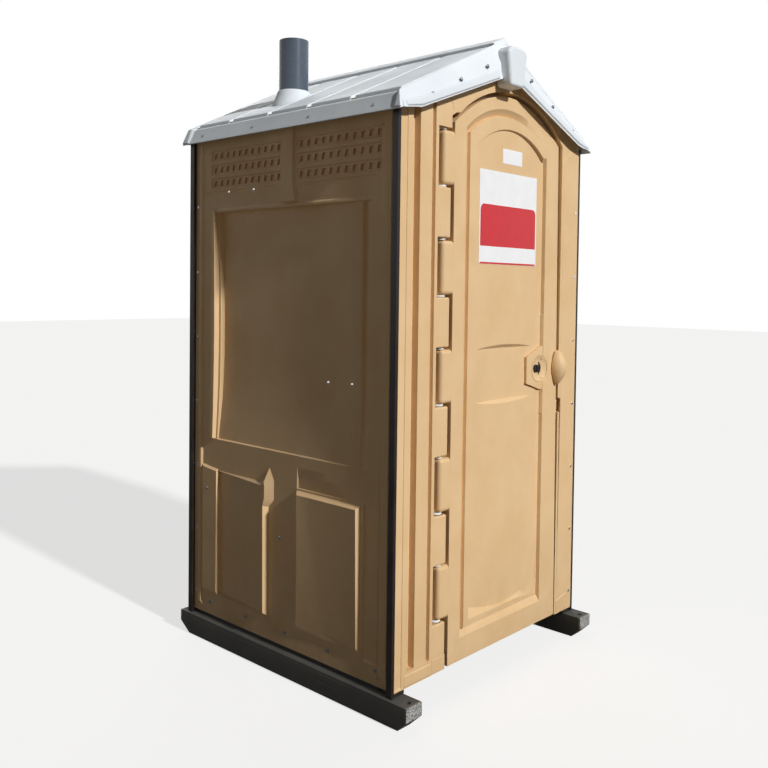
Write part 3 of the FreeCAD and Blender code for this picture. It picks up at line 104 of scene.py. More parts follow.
def mouldedPlastic(name, colour, second, roughness=0.45, patch=160, depth=0.10, dust=None, gloss=0.3):
    # polyethylene or a like plastic: a soft satin sheen, faint cloudy patches and a fine pebbled skin
    material, tree, place = startMaterial(name)
    clouds = noiseNode(tree, place, 1000 / patch, roughness=0.55)
    tinted = blendNode(tree, spreadNode(tree, clouds, 0.35, 0.65), colour, second)
    if dust:  # grime that thins out with height above the ground
        height = addNode(tree, "SeparateXYZ", {"Vector": place}, out="Z")
        fade = spreadNode(tree, height, 0.1, 0.55, 0.5, 0.0)
        tinted = blendNode(tree, mathNode(tree, fade, noiseNode(tree, place, 14, 5), "MULTIPLY"), tinted, dust)
    pebbles = noiseNode(tree, place, 1000 / 4.8, 3)
    wear = spreadNode(tree, clouds, 0.3, 0.7, roughness - 0.07, roughness + 0.09)
    endMaterial(tree, tinted, wear, pebbles, (depth, 0.0012), {"IOR": 1.5, "Specular IOR Level": gloss})
    return material


def wornSkidPlastic(name):
    # recycled plastic: charcoal, rubbed pale and gritty on the end faces, with long scrapes on the flanks
    material, tree, place = startMaterial(name)
    grit = noiseNode(tree, place, 240, 6, 0.7)
    scrapes = noiseNode(tree, addNode(tree, "Mapping", {"Vector": place, "Scale": (60, 2.2, 90)}), 1, 5)
    along = mathNode(tree, addNode(tree, "SeparateXYZ", {"Vector": place}, out="Y"), 0, "ABSOLUTE")
    ends = spreadNode(tree, along, 0.611, 0.619)
    rubbed = mathNode(tree, ends, spreadNode(tree, grit, 0.44, 0.56), "MULTIPLY")
    base = blendNode(tree, noiseNode(tree, place, 9), "#2F2F2D", "#55544F")
    lined = blendNode(tree, spreadNode(tree, scrapes, 0.60, 0.72, 0.0, 0.5), base, "#6E6D69")
    endMaterial(tree, blendNode(tree, rubbed, lined, "#B9B9B6"), 0.78, grit, (0.5, 0.002), {"IOR": 1.5})
    return material


def bareMetal(name, colour, roughness):
    # plated steel or aluminium: bright, with fine scuffs that spread the highlight
    material, tree, place = startMaterial(name)
    scuffs = noiseNode(tree, place, 900)
    wear = spreadNode(tree, scuffs, 0.0, 1.0, roughness - 0.1, roughness + 0.15)
    endMaterial(tree, linearColour(colour), wear, scuffs, (0.08, 0.0005), {"Metallic": 1.0})
    return material


def woundPaper(name):
    # tissue paper wound on a core: matt, soft and a little uneven
    material, tree, place = startMaterial(name)
    layers = noiseNode(tree, place, 300, 5, 0.7)
    endMaterial(tree, blendNode(tree, layers, "#F2F1EC", "#DEDCD5"), 0.95, layers, (0.4, 0.001))
    return material


def printedFilm(name, blocks):
    # glossy vinyl film: white, with plain red blocks that have rounded corners
    material, tree, place = startMaterial(name)
    clouds = noiseNode(tree, place, 25, 3)
    painted = blendNode(tree, clouds, "#F6F6F6", "#E9EAEC")
    red = blendNode(tree, clouds, "#D31F2B", "#C31A26")

    def vectorNode(first, second, operation, out=0):
        return addNode(tree, "VectorMath", {0: first, 1: second}, out, operation=operation)

    flat, none = vectorNode(place, (1, 0, 1), "MULTIPLY"), (0, 0, 0)
    for x, z, halfWidth, halfHeight, radius in blocks:
        folded = vectorNode(vectorNode(flat, (x, 0, z), "SUBTRACT"), none, "ABSOLUTE")
        past = vectorNode(folded, (halfWidth - radius, 0, halfHeight - radius), "SUBTRACT")
        away = vectorNode(vectorNode(past, none, "MAXIMUM"), none, "LENGTH", "Value")
        painted = blendNode(tree, mathNode(tree, away, radius, "LESS_THAN"), painted, red)
    endMaterial(tree, painted, 0.28, clouds, (0.15, 0.001), {"IOR": 1.46})
    return material


finishes = {
    "tan_plastic": mouldedPlastic("rotomoulded tan polyethylene", "#E3C295", "#DDBA8B", 0.48, dust="#A88A62"),
    "roof_plastic": mouldedPlastic("moulded white polyethylene", "#E9EFF3", "#E0E7EC", 0.55, patch=220, gloss=0.15),
    "pipe_plastic": mouldedPlastic("extruded slate grey PVC", "#4C5967", "#44505D", 0.27, patch=90, depth=0.05,
                                   gloss=0.45),
    "post_plastic": mouldedPlastic("extruded black PVC", "#221C19", "#2A2421", 0.42, patch=60),
    "floor_plastic": mouldedPlastic("moulded black polyethylene", "#262626", "#303030", 0.6, patch=80, depth=0.3),
    "liner_plastic": mouldedPlastic("pressed off-white HDPE sheet", "#DCD8CC", "#D3CEC0", 0.5),
    "bush_plastic": mouldedPlastic("turned white nylon", "#F1F1EE", "#E6E6E2", 0.35, patch=12),
    "lock_plastic": mouldedPlastic("moulded black ABS", "#1B1B1C", "#252526", 0.36, patch=30),
    "tank_plastic": mouldedPlastic("rotomoulded grey polyethylene", "#6A6D72", "#5F6267", 0.5, depth=0.2),
    "seat_plastic": mouldedPlastic("moulded black polypropylene", "#19191B", "#212124", 0.24, patch=50, depth=0.04),
    "rubber_seal": mouldedPlastic("moulded black rubber", "#161616", "#1E1E1E", 0.75, patch=20, depth=0.3),
    "card": mouldedPlastic("raw grey-brown card", "#A38663", "#8F7555", 0.9, patch=8, depth=0.4),
    "skid_plastic": wornSkidPlastic("worn recycled plastic"),
    "steel": bareMetal("zinc plated steel", "#75797E", 0.42),
    "rivet_aluminium": bareMetal("bright aluminium", "#E3E5E7", 0.22),
    "paper": woundPaper("wound tissue paper"),
    "label_film": printedFilm("printed vinyl film", [  # metres: middle x and z, half sizes, corner
        (0.071, 1.6515, 0.181, 0.0755, 0.022),
        (0.071, 1.5995, 0.181, 0.0235, 0.0005),
        (0.071, 1.5155, 0.181, 0.0032, 0.0003),
    ]),
}
print("materials made,", len(finishes))


def placeObject(name, data):
    item = bpy.data.objects.new(name, data)
    bpy.context.scene.collection.objects.link(item)
    return item


def softenEdges(piece, width, segments, angle):
    if width:
        bevel = piece.modifiers.new("soft edges", "BEVEL")
        bevel.width = width / 1000
        bevel.segments = segments
        bevel.limit_method = "ANGLE"
        bevel.angle_limit = math.radians(angle)
        bevel.harden_normals = False


def evenShading(piece):
    even = piece.modifiers.new("even shading", "WEIGHTED_NORMAL")
    even.keep_sharp = True


def finishPiece(name, bm, body, replaced=(), slot="tan_plastic", bevel=0.0, sheet=0.0, angle=25):
    bm.transform(Matrix.Scale(0.001, 4))
    mesh = bpy.data.meshes.new(name)
    bm.to_mesh(mesh)
    bm.free()
    mesh.materials.append(finishes[slot])
    mesh.shade_smooth()
    piece = placeObject(name, mesh)
    softenEdges(piece, bevel, 3, angle)
    if sheet:
        skin = piece.modifiers.new("sheet", "SOLIDIFY")
        skin.thickness = sheet / 1000
        skin.offset = -1
    evenShading(piece)
    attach(piece, body)
    if replaced:
        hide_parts(*replaced)


def dressNode(name, slot, bevel):
    piece = nodes[name]
    piece.data.materials.clear()
    piece.data.materials.append(finishes[slot])
    piece.data.shade_smooth()
    weld = piece.modifiers.new("joined corners", "WELD")
    weld.merge_threshold = 0.00002
    softenEdges(piece, bevel, 2, 30)
    evenShading(piece)


edgeWidths = {  # how far the CAD parts' edges are rounded
    5: "toilet_seat", 4: "skid_left skid_right",
    3: "wall_left wall_right wall_back front_frame roof_shell door_shell latch_knob seat_lid paper_roll_front "
       "paper_roll_back",
    2.5: "urinal", 2: "floor_pan pull_handle strike_block holding_tank tank_deck",
    1.5: "corner_post_front_left corner_post_front_right corner_post_back_left corner_post_back_right door_liner "
         "grab_handle seat_posts",
    1.4: "corner_rivets", 1.2: "roof_screws floor_screws vent_pipe lock_plate latch_arm",
    1: "urinal_drain paper_holder coat_hook", 0.8: "hinge_bushes", 0.6: "latch_spindle", 0.3: "number_plate",
    0.2: "door_sticker",
}
for part in frame["record"]["subparts"]:
    width = next((w for w, names in edgeWidths.items() if part["node"] in names.split()), 0)
    dressNode(part["node"], part["material_slot"], width)
print("CAD nodes dressed")


# Walls are modelled flat, in their own plane: across, up, and how far a place stands out.
def vertsOf(made, key="geom"):
    return [g for g in made[key] if isinstance(g, bmesh.types.BMVert)]


def rectangle(left, right, foot, head, *level):
    return [(left, foot, *level), (right, foot, *level), (right, head, *level), (left, head, *level)]


def mirrored(right, first=-1):
    # a whole outline from its right half, started at one of its corners; those on the middle line aren't doubled
    whole = [*right, *((-x, z) for x, z in reversed(right) if x)]
    return whole[first:] + whole[:first]


def ringOf(bm, corners):
    return [bm.verts.new(c if len(c) == 3 else (*c, 0)) for c in corners]


def faceForward(face):
    face.normal_update()
    if face.normal.z < 0:
        face.normal_flip()
    return face


def flatFace(bm, corners):
    return faceForward(bm.faces.new(ringOf(bm, corners)))


def archedFace(bm, shape, level=0, steps=20):
    # a doorway shape: straight sides under an arc
    left, right, foot, spring = (shape[key] for key in ("left", "right", "foot", "spring"))
    half, rise = (right - left) / 2, shape["peak"] - spring
    radius = (half * half + rise * rise) / (2 * rise)
    centre = ((left + right) / 2, shape["peak"] - radius, level)
    old = set(bm.verts)
    start = bm.verts.new((right, spring, level))
    bmesh.ops.spin(bm, geom=[start], cent=centre, axis=(0, 0, 1), angle=2 * math.asin(half / radius), steps=steps)
    arc = sorted((v for v in bm.verts if v not in old), key=lambda v: -v.co.x)
    return faceForward(bm.faces.new(ringOf(bm, [(left, foot, level), (right, foot, level)]) + arc))


def pressFace(bm, face, draft, rise):
    # the face moves out by the rise, with a drafted edge round it
    bmesh.ops.inset_region(bm, faces=[face], thickness=draft, depth=rise, use_boundary=True, use_even_offset=True)


def pressPad(bm, outer, inner):
    # a pad or a tray whose inner corners are given one by one, each with its own height
    top = bmesh.ops.extrude_discrete_faces(bm, faces=[flatFace(bm, outer)])["faces"][0]
    order = {(round(c[0], 2), round(c[1], 2)): i for i, c in enumerate(outer)}
    for vert in top.verts:
        vert.co = inner[order[round(vert.co.x, 2), round(vert.co.y, 2)]]
    return top


def openEdges(bm):
    return [e for e in bm.edges if len(e.link_faces) < 2]


def fillBetween(bm, edges):
    # closes the flat part of a sheet between its rim and what is pressed into it
    made = bmesh.ops.triangle_fill(bm, use_beauty=True, use_dissolve=False, edges=edges)
    faces = {faceForward(g) for g in made["geom"] if isinstance(g, bmesh.types.BMFace)}
    seams = [e for e in bm.edges if len(e.link_faces) == 2 and all(f in faces for f in e.link_faces)]
    bmesh.ops.dissolve_limit(bm, angle_limit=0.001, use_dissolve_boundaries=False, verts=[], edges=seams)


def fillSheet(bm, rim):
    corners = ringOf(bm, rim)
    for i, corner in enumerate(corners):
        bm.edges.new((corner, corners[(i + 1) % len(corners)]))
    fillBetween(bm, openEdges(bm))


def cutFace(bm, face, x):
    # cuts one face along an upright line and gives back the new corners
    parts = [face, *face.edges, *face.verts]
    made = bmesh.ops.bisect_plane(bm, geom=parts, dist=0.001, plane_co=(x, 0, 0), plane_no=(1, 0, 0))
    return vertsOf(made, "geom_cut")


def pullEdges(bm, edges, step):
    # a strip of faces from these edges to their new place
    made = vertsOf(bmesh.ops.extrude_edge_only(bm, edges=edges))
    bmesh.ops.translate(bm, verts=made, vec=step)
    return made


def turnBackSides(bm, half, reach):
    sides = [e for e in bm.edges if len(e.link_faces) == 1 and all(abs(abs(v.co.x) - half) < 0.1 for v in e.verts)]
    pullEdges(bm, sides, (0, 0, -reach))


def roundEdges(bm, edges, width, segments=3):
    bmesh.ops.bevel(bm, geom=edges, offset=width, segments=segments, profile=0.5, affect="EDGES", material=-1,
                    clamp_overlap=True)


def outwardFaces(bm, verts):
    bmesh.ops.recalc_face_normals(bm, faces=list({f for v in verts for f in v.link_faces}))


def standUp(bm, facing, plane):
    # turns the flat sheet into its wall: facing is the side that its front looks to
    depth, across = (0, 0, 1 if facing in ("right", "back") else -1, plane), (1, 0, 0, 0)
    rows = (depth, across) if facing in ("left", "right") else (across, depth)
    turn = Matrix((*rows, (0, 1, 0, 0), (0, 0, 0, 1)))
    bmesh.ops.remove_doubles(bm, verts=bm.verts[:], dist=0.005)
    bmesh.ops.recalc_face_normals(bm, faces=bm.faces[:])
    if (max(bm.faces, key=lambda face: face.calc_area()).normal.z < 0) != (turn.determinant() < 0):
        bmesh.ops.reverse_faces(bm, faces=bm.faces[:])
    bm.transform(turn)


def addBlock(bm, low, high, soft, segments=3):
    # a block between two corners, its edges rounded off
    low, high = Vector(low), Vector(high)
    place = Matrix.Translation((low + high) / 2) @ Matrix.Diagonal((*(high - low), 1))
    made = bmesh.ops.create_cube(bm, size=1, matrix=place)["verts"]
    roundEdges(bm, list({e for v in made for e in v.link_edges}), soft, segments)


def addPrism(bm, corners, near, far, soft, segments=3):
    # an outline of (x, z) corners carried along y, its edges rounded off
    old = set(bm.verts)
    face = bm.faces.new([bm.verts.new((x, near, z)) for x, z in corners])
    made = vertsOf(bmesh.ops.extrude_face_region(bm, geom=[face], use_keep_orig=True))
    bmesh.ops.translate(bm, vec=(0, far - near, 0), verts=made)
    verts = [v for v in bm.verts if v not in old]
    outwardFaces(bm, verts)
    roundEdges(bm, [e for e in {e for v in verts for e in v.link_edges} if e.calc_face_angle(0) > 0.3], soft, segments)


def addTurned(bm, profile, along, centre, steps=40):
    # a turned shape: the profile's corners are (radius, position along the axis)
    def spot(radius, place):
        parts = [centre[0] + radius, centre[1]]
        parts.insert("xyz".index(along), place)
        return parts

    axis = [int(name == along) for name in "xyz"]
    old = set(bm.verts)
    verts = [bm.verts.new(spot(r, t)) for r, t in profile]
    edges = [bm.edges.new(pair) for pair in zip(verts, verts[1:])]
    bmesh.ops.spin(bm, geom=verts + edges, cent=spot(0, 0), axis=axis, angle=2 * math.pi, steps=steps, use_merge=True)
    bmesh.ops.remove_doubles(bm, verts=[v for v in bm.verts if v not in old], dist=0.001)
    outwardFaces(bm, [v for v in bm.verts if v not in old])


def capRing(bm, centre, radius, segments, cap=True):
    # a circle that faces along y; gives back its corners
    turn = Matrix.Translation(centre) @ Matrix.Rotation(math.pi / 2, 4, "X")
    return bmesh.ops.create_circle(bm, cap_ends=cap, segments=segments, radius=radius, matrix=turn)["verts"]


sideWall = {
    "plane": 545, "sheet": 4, "rim": (-518, 562, 104, 2053),
    "panel": {  # columns are (across, level), rows are (height, share of the column's depth)
        "columns": ((456, 0), (451, 12), (432, 12), (428, -8), (418, -9), (414, -26), (380, -26), (310, -25),
                    *((y, -23) for y in range(240, -181, -70)), (-235, -22), (-300, -13), (-332, -11), (-338, -4),
                    (-374, -4), (-379, -17), (-418, 0)),
        "rows": ((1724, 0), (1717, -0.2), (1710, -0.2), (1706, 1), *((z, 1) for z in range(1630, 1149, -80)),
                 (1070, 0.92), (990, 0.8), (910, 0.55), (818, 0.22), (814, 0)),
        "bow": 9, "bulge": 5, "middle": 1262, "reach": 446, "wave": (330, 240), "lip": 3.6,
        "bowed": range(1, 6), "bulging": range(6, 17),  # columns
    },
    "pads": {  # corners round the foot of each pad as (across, height), and round its top with a level
        "centre rib": (
            [(-53, 1726), (35, 1726), (35, 1800), (35, 2012), (-35, 2012), (-35, 1800)],
            [(-46, 1728, 14), (29, 1728, 10), (29, 1800, 10), (29, 2004, 10), (-31, 2004, 10), (-31, 1800, 10)]),
        "front ridge": (rectangle(-516, -470, 130, 2030), rectangle(-509, -477, 144, 2022, 7)),
        "rear ridge": (rectangle(508, 537, 130, 2030), rectangle(515, 530, 144, 2022, 7)),
        "rear pad": (  # it leans out towards the door and ends in a pointed shoulder
            [(96, 191), (407, 191), (407, 690), (114, 690), (92, 750), (66, 704), (66, 632), (96, 602)],
            [(105, 205, 19), (403, 205, -12), (403, 686, -12), (118, 682, 21), (104, 696, 18), (98, 682, 21),
             (98, 638, 21), (107, 606, 21)]),
        "flat behind it": ([(408, 191), (506, 191), (506, 706), (408, 696)],
                           [(408.5, 205, 9), (498, 205, 9), (498, 698, 9), (408.5, 688, 9)]),
        "front pad": (rectangle(-382, -60, 191, 690),
                      [(-374, 205, 9), (-82, 221, 15), (-76, 678, 17), (-374, 678, 18)]),
        "step over it": (
            [(-61, 696), (-61, 772), (-201, 772), (-201, 748), (-266, 748), (-316, 696)],
            [(-66, 699, -4), (-66, 768, -4), (-197, 768, -4), (-197, 744, -4), (-263, 744, -4), (-306, 699, -4)]),
        "strip beside it": (rectangle(-458, -392, 170, 698),
                            [(-454, 176, -4), (-398, 176, -4), (-396, 696, -9), (-454, 696, -9)]),
    },
    "folds": {"rear pad": 118, "front pad": -215},
    "valley": {"level": 4, "head": 16, "from": 660, "shift": 70},  # the front pad's fold sinks, but not at its head
    "grooves": ((60, 500, 1778, 1792), (-460, -60, 1778, 1792)), "grooveSize": (2, -2.5),
    "louvre": {"first": 62, "pitch": 38, "count": 11, "rows": (1811, 1865, 1919), "height": 22, "width": 17,
               "lean": 5, "pocket": 6, "slotDepth": 7, "margin": 20, "slants": (30, 14), "draft": 1.5, "shift": 4,
               "under": 8, "over": 10, "inside": 5, "insets": (8, 4, 6)},
}


def addLouvres(bm):
    m = sideWall["louvre"]
    level = -m["pocket"]
    far = m["first"] + (m["count"] - 1) * m["pitch"]
    for low in m["rows"]:
        high = low + m["height"]
        for side in (-1, 1):
            near, end = sorted((side * (m["first"] - m["margin"]), side * (far + m["margin"])))
            start = near - m["slants"][side > 0]  # the end nearer the door slants down and forwards
            foot, head = low - m["under"], high + m["over"]
            outer = [(start, foot), (end, foot), (end, head), (near, head)]
            foot, head = low - m["inside"], high + m["inside"]
            a, b, c = m["insets"]
            inner = [(start + a, foot, level), (end - b, foot, level), (end - b, head, level), (near + c, head, level)]
            floor = pressPad(bm, outer, inner)
            rim = floor.edges[:]
            bm.faces.remove(floor)
            slots = []
            for i in range(m["count"]):
                middle = side * (m["first"] + i * m["pitch"])
                left, right = middle - m["width"] / 2, middle + m["width"] / 2
                slots.append(flatFace(bm, [(left, low, level), (right, low, level), (right - m["lean"], high, level),
                                           (left - m["lean"], high, level)]))
                rim += slots[-1].edges[:]
            fillBetween(bm, rim)
            for slot in slots:
                pressFace(bm, slot, m["draft"], -m["slotDepth"])
                bmesh.ops.translate(bm, verts=slot.verts[:], vec=(m["shift"], 0, 0))
            bmesh.ops.delete(bm, geom=slots, context="FACES_ONLY")


def addTray(bm):
    # the large sunk panel: a stepped rim behind, a lip in front and over it, and a floor that isn't quite flat
    p = sideWall["panel"]
    across, up = len(p["columns"]) - 1, len(p["rows"]) - 1
    start, length = p["wave"]
    for vert in bmesh.ops.create_grid(bm, x_segments=across, y_segments=up, size=1)["verts"]:
        i, j = round((1 - vert.co.x) / 2 * across), round((1 - vert.co.y) / 2 * up)
        (y, level), (z, share) = p["columns"][i], p["rows"][j]
        bend = max(0, 1 - ((z - p["middle"]) / p["reach"]) ** 2)
        if i in p["bowed"]:
            y -= p["bow"] * bend
        if level < 0:
            level *= share
            if i in p["bulging"]:
                level += p["bulge"] * bend * math.sin((y + start) / length)
            if share < 0:
                level = min(level, p["lip"])
        elif share == 0:
            level = 0
        vert.co = (y, z, level)


def makeSideWall(name, node, facing):
    v = sideWall
    bm = bmesh.new()
    addTray(bm)
    for pad, (outer, inner) in v["pads"].items():
        top = pressPad(bm, outer, inner)
        if pad in v["folds"]:
            fold = cutFace(bm, top, v["folds"][pad])
        if pad == "front pad":
            for vert in fold:
                atHead = vert.co.y > v["valley"]["from"]
                vert.co.z = v["valley"]["head" if atHead else "level"]
                vert.co.x += v["valley"]["shift"] * atHead
    for groove in v["grooves"]:  # under the louvres
        pressFace(bm, flatFace(bm, rectangle(*groove)), *v["grooveSize"])
    addLouvres(bm)
    fillSheet(bm, rectangle(*v["rim"]))
    standUp(bm, facing, v["plane"] if facing == "right" else -v["plane"])
    finishPiece(name, bm, "cabin", [node], bevel=3.5, sheet=v["sheet"])


makeSideWall("sideWallLeft", "wall_left", "left")
makeSideWall("sideWallRight", "wall_right", "right")


wallFixings = {  # heads on the left wall: place along it, height and the surface there
    "rivets": ((352, 1784, -542.5), (200, 1784, -542.5), (-199, 1088, -526), (-325, 1092, -534.4)),
    "screws": ((468, 613, -554), (32, 499, -545)), "radius": 6, "rise": 2.6,
}


def makeWallFixings():
    r, t = wallFixings["radius"], wallFixings["rise"]
    for name, slot in (("rivets", "rivet_aluminium"), ("screws", "steel")):
        bm = bmesh.new()
        for y, z, x in wallFixings[name]:
            head = [(0, x + 1), (r, x + 1), (r, x - 0.3 * t), (0.6 * r, x - t), (0, x - t)]
            addTurned(bm, head, "x", (y, z), steps=20)
        finishPiece("wall" + name.capitalize(), bm, "cabin", slot=slot)


makeWallFixings()
print("side walls made")


backWall = {"plane": 587, "half": 545, "foot": 104, "corner": 2050, "peak": 2312, "return": 20, "sheet": 4,
            "pad": {"inner": 55, "outer": 440, "foot": 240, "head": 1843, "proud": 10, "draft": 14,
                    "border": 46, "step": (7, -5)}}


def makeBackWall():
    v, p = backWall, backWall["pad"]
    d = p["draft"]
    bm = bmesh.new()
    for left, right in ((-p["outer"], -p["inner"]), (p["inner"], p["outer"])):
        top = pressPad(bm, rectangle(left, right, p["foot"], p["head"]),
                       rectangle(left + d, right - d, p["foot"] + d, p["head"] - d, p["proud"]))
        for thickness, depth in ((p["border"], 0), p["step"]):
            bmesh.ops.inset_region(bm, faces=[top], thickness=thickness, depth=depth, use_even_offset=True)
    fillSheet(bm, mirrored([(v["half"], v["foot"]), (v["half"], v["corner"]), (0, v["peak"])]))
    turnBackSides(bm, v["half"], v["return"])
    standUp(bm, "back", v["plane"])
    finishPiece("backWall", bm, "cabin", ["wall_back"], bevel=4, sheet=v["sheet"])


makeBackWall()
print("back wall made")


doorLeaf = {
    "plane": -543, "left": -270, "right": 414, "foot": 108, "spring": 1989.3, "peak": 2136, "depth": 45, "sheet": 4,
    "panel": {"left": -206, "right": 305, "foot": 190, "spring": 1979.9, "peak": 2078, "slope": 25, "deep": 17,
              "step": 3, "field": 3, "merge": (90, 270), "shoulder": 1922},
    "well": {"left": -150, "right": 296, "foot": 240, "spring": 1915, "peak": 2008, "leftDepth": 7,
             "rightDepth": 15, "draft": 2.5, "sill": (3, 34), "sillDepth": 15, "sillHead": 430},
    "rimPocket": {"foot": 935, "head": 1325, "right": 358, "depth": 6.5},  # beside the lock, running out to the right
    "lockBay": {"foot": 1056, "head": 1172, "right": 340},  # where the panel runs on under the lock
    "archGap": 5, "archFade": 60, "setBack": 15,  # the arch is lower than the doorway and set back on the right
    "scoop": {"left": -121, "right": 236, "foot": 1012, "head": 1204, "arc": 13, "depth": 13},
    "hinge": {"x": -311, "y": -516, "radius": 28, "first": 373, "pitch": 373, "count": 5, "length": 186, "soft": 7,
              "web": (-323, -244), "core": 12, "gap": 8, "frameFoot": 155},
}
lockPad = {"corners": ((199, 1162, -6), (293, 1201, -3.4), (352, 1188, -1.5), (352, 1040, -1.5),
                       (290, 1032, -3.4), (200, 1060, -6)),
           "seat": (284, 1114), "seatRadius": 53, "seatSlope": (-6, 200, 0.0296), "reaches": (20, 6)}


def easeInOut(share):
    share = min(1, max(0, share))
    return share * share * (3 - 2 * share)


def wellLevel(x):
    w = doorLeaf["well"]
    share = (x - w["left"]) / (w["right"] - w["left"])
    return -w["leftDepth"] - share * (w["rightDepth"] - w["leftDepth"])


def mergeLevels(verts, level):
    # towards the panel's right edge its levels run into the well's floor, above the shoulder into the leaf's face
    p = doorLeaf["panel"]
    start, end = p["merge"]
    for vert in verts:
        goal = wellLevel(vert.co.x) if vert.co.y < p["shoulder"] else 0
        vert.co.z = level + easeInOut((vert.co.x - start) / (end - start)) * (goal - level)


def splitEdge(edge, height):
    corner, other = edge.verts
    return bmesh.utils.edge_split(edge, corner, (height - corner.co.y) / (other.co.y - corner.co.y))[1]


def splitSide(face, x, height):
    # a new corner in the face's upright edge at this place
    return splitEdge(next(e for e in face.edges if all(abs(c.co.x - x) < 0.1 for c in e.verts)
                          and min(c.co.y for c in e.verts) < height < max(c.co.y for c in e.verts)), height)


def addRim(bm, panel, rimEdges):
    # beside the lock the rim dips towards the panel: steps above and below, a slope between them
    p, k, bay = doorLeaf["panel"], doorLeaf["rimPocket"], doorLeaf["lockBay"]
    near, far = p["right"], bay["right"]
    spots = [(p["shoulder"] + 10, near), (p["shoulder"] - 10, near), (k["head"] + 1, near), (k["head"] - 1, near),
             (bay["head"] + 1, near), (bay["head"] - 1, far), (bay["foot"] + 1, far), (bay["foot"] - 1, near),
             (k["foot"] + 1, near), (k["foot"] - 1, near)]
    side = [splitSide(panel, near, height) for height, x in spots]
    for vert, (height, x) in zip(side, spots):
        vert.co.x = x
    side = side[2:]
    ends = ringOf(bm, [(k["right"], k["head"]), (k["right"], k["foot"])])
    chain = [side[0], *ends, side[-1]]
    around = [bm.edges.new(pair) for pair in zip(chain, chain[1:])]
    outside = [e for e in panel.edges if not all(c in side for c in e.verts)]
    fillBetween(bm, rimEdges + outside + around)
    bm.faces.new((side[0], ends[0], side[1]))
    bm.faces.new((side[-1], side[-2], ends[1]))
    bm.faces.new([side[1], ends[0], ends[1], *side[-2:1:-1]])
    return side[1:-1]


def addField(bm, panel, dip):
    # a slope falls to the foot of the raised field; its right side is a steep step
    p, k = doorLeaf["panel"], doorLeaf["rimPocket"]
    pressFace(bm, panel, p["slope"], 0)
    for vert in panel.verts:
        if vert.co.x > p["right"] - p["slope"] - 1:
            vert.co.x += p["slope"] - p["step"]
    mergeLevels(panel.verts, -p["deep"])
    for vert in dip:
        vert.co.z = -k["depth"] * (k["right"] - vert.co.x) / (k["right"] - p["right"])
    pressFace(bm, panel, 2, 0)
    mergeLevels(panel.verts, -p["field"])
    edges = panel.edges[:]
    bm.faces.remove(panel)
    return edges


def addWell(bm, fieldEdges):
    # the sunk middle of the panel with its curved sill; gives back the edges round its floor
    p, w = doorLeaf["panel"], doorLeaf["well"]
    well = archedFace(bm, w, -p["field"], steps=24)
    foot = [e for e in well.edges if all(abs(c.co.y - w["foot"]) < 0.1 for c in e.verts)]
    bmesh.ops.subdivide_edges(bm, edges=foot, cuts=13)
    well = min((f for f in foot[0].link_faces), key=lambda f: f.calc_area())
    mergeLevels(well.verts, -p["field"])
    fillBetween(bm, fieldEdges + well.edges[:])
    pressFace(bm, well, w["draft"], -3)
    middle, half = (w["left"] + w["right"]) / 2, (w["right"] - w["left"]) / 2
    least, most = w["sill"]
    for vert in well.verts:
        offset = (vert.co.x - middle) / half
        vert.co.z = wellLevel(vert.co.x)
        if vert.co.y < w["foot"] + 10:  # the sill, taller and deeper at both ends
            vert.co.y += least + most * offset ** 2
            vert.co.z -= w["sillDepth"] * abs(offset) ** 1.5 * (1 - 0.5 * max(0, offset))
    edges = {count: [e for e in well.edges if sum(c.co.y < 300 for c in e.verts) == count] for count in range(3)}
    bm.faces.remove(well)
    for edge in edges[1]:
        over = max(edge.verts, key=lambda c: c.co.y)
        corner = splitEdge(edge, w["sillHead"])
        edges[0].append(next(e for e in corner.link_edges if over in e.verts))
        corner.co.z = wellLevel(corner.co.x)
    for vert in pullEdges(bm, edges[2], (0, 0, 0)):
        vert.co.y, vert.co.z = w["sillHead"], wellLevel(vert.co.x)

    def atSill(vert):
        return abs(vert.co.y - w["sillHead"]) < 0.5

    bmesh.ops.remove_doubles(bm, verts=[c for c in bm.verts if atSill(c)], dist=0.5)
    around = edges[0] + [e for e in bm.edges if all(atSill(c) for c in e.verts)]
    return [e for e in around if e.is_valid and len(e.link_faces) == 1]


def addScoop(bm):
    # a shallow hollow across the panel: flat in the middle, with a crescent above and below
    s = doorLeaf["scoop"]
    middle, half = (s["left"] + s["right"]) / 2, (s["right"] - s["left"]) / 2
    old = set(bm.verts)
    made = bmesh.ops.create_grid(bm, x_segments=14, y_segments=3, size=1)["verts"]
    for vert in made:
        across, row = vert.co.x, round((vert.co.y + 1) * 1.5)
        x, bow = middle + across * half, 1 - across * across
        height = s["foot" if row < 2 else "head"] + s["arc"] * bow * (-1, 0, 0, 1)[row]
        vert.co = (x, height, wellLevel(x) - s["depth"] * bow * (row in (1, 2)))
    bmesh.ops.remove_doubles(bm, verts=made, dist=0.01)  # the grid's ends close to a line
    return [e for e in {e for v in bm.verts if v not in old for e in v.link_edges} if len(e.link_faces) == 1]


def addLockPad(bm):
    # the lock's pad, with a round hole for its dish
    k = lockPad
    pad = flatFace(bm, k["corners"])
    padEdges = pad.edges[:]
    bm.faces.remove(pad)
    seat = bmesh.ops.create_circle(bm, segments=48, radius=k["seatRadius"],
                                   matrix=Matrix.Translation((*k["seat"], 0)))["verts"]
    seatEdges = list({e for c in seat for e in c.link_edges})
    level, start, slope = k["seatSlope"]
    for vert in seat:
        vert.co.z = level + (vert.co.x - start) * slope
    fillBetween(bm, padEdges + seatEdges)
    for edges, reach in zip((padEdges, seatEdges), k["reaches"]):
        pullEdges(bm, edges, (0, 0, -reach))


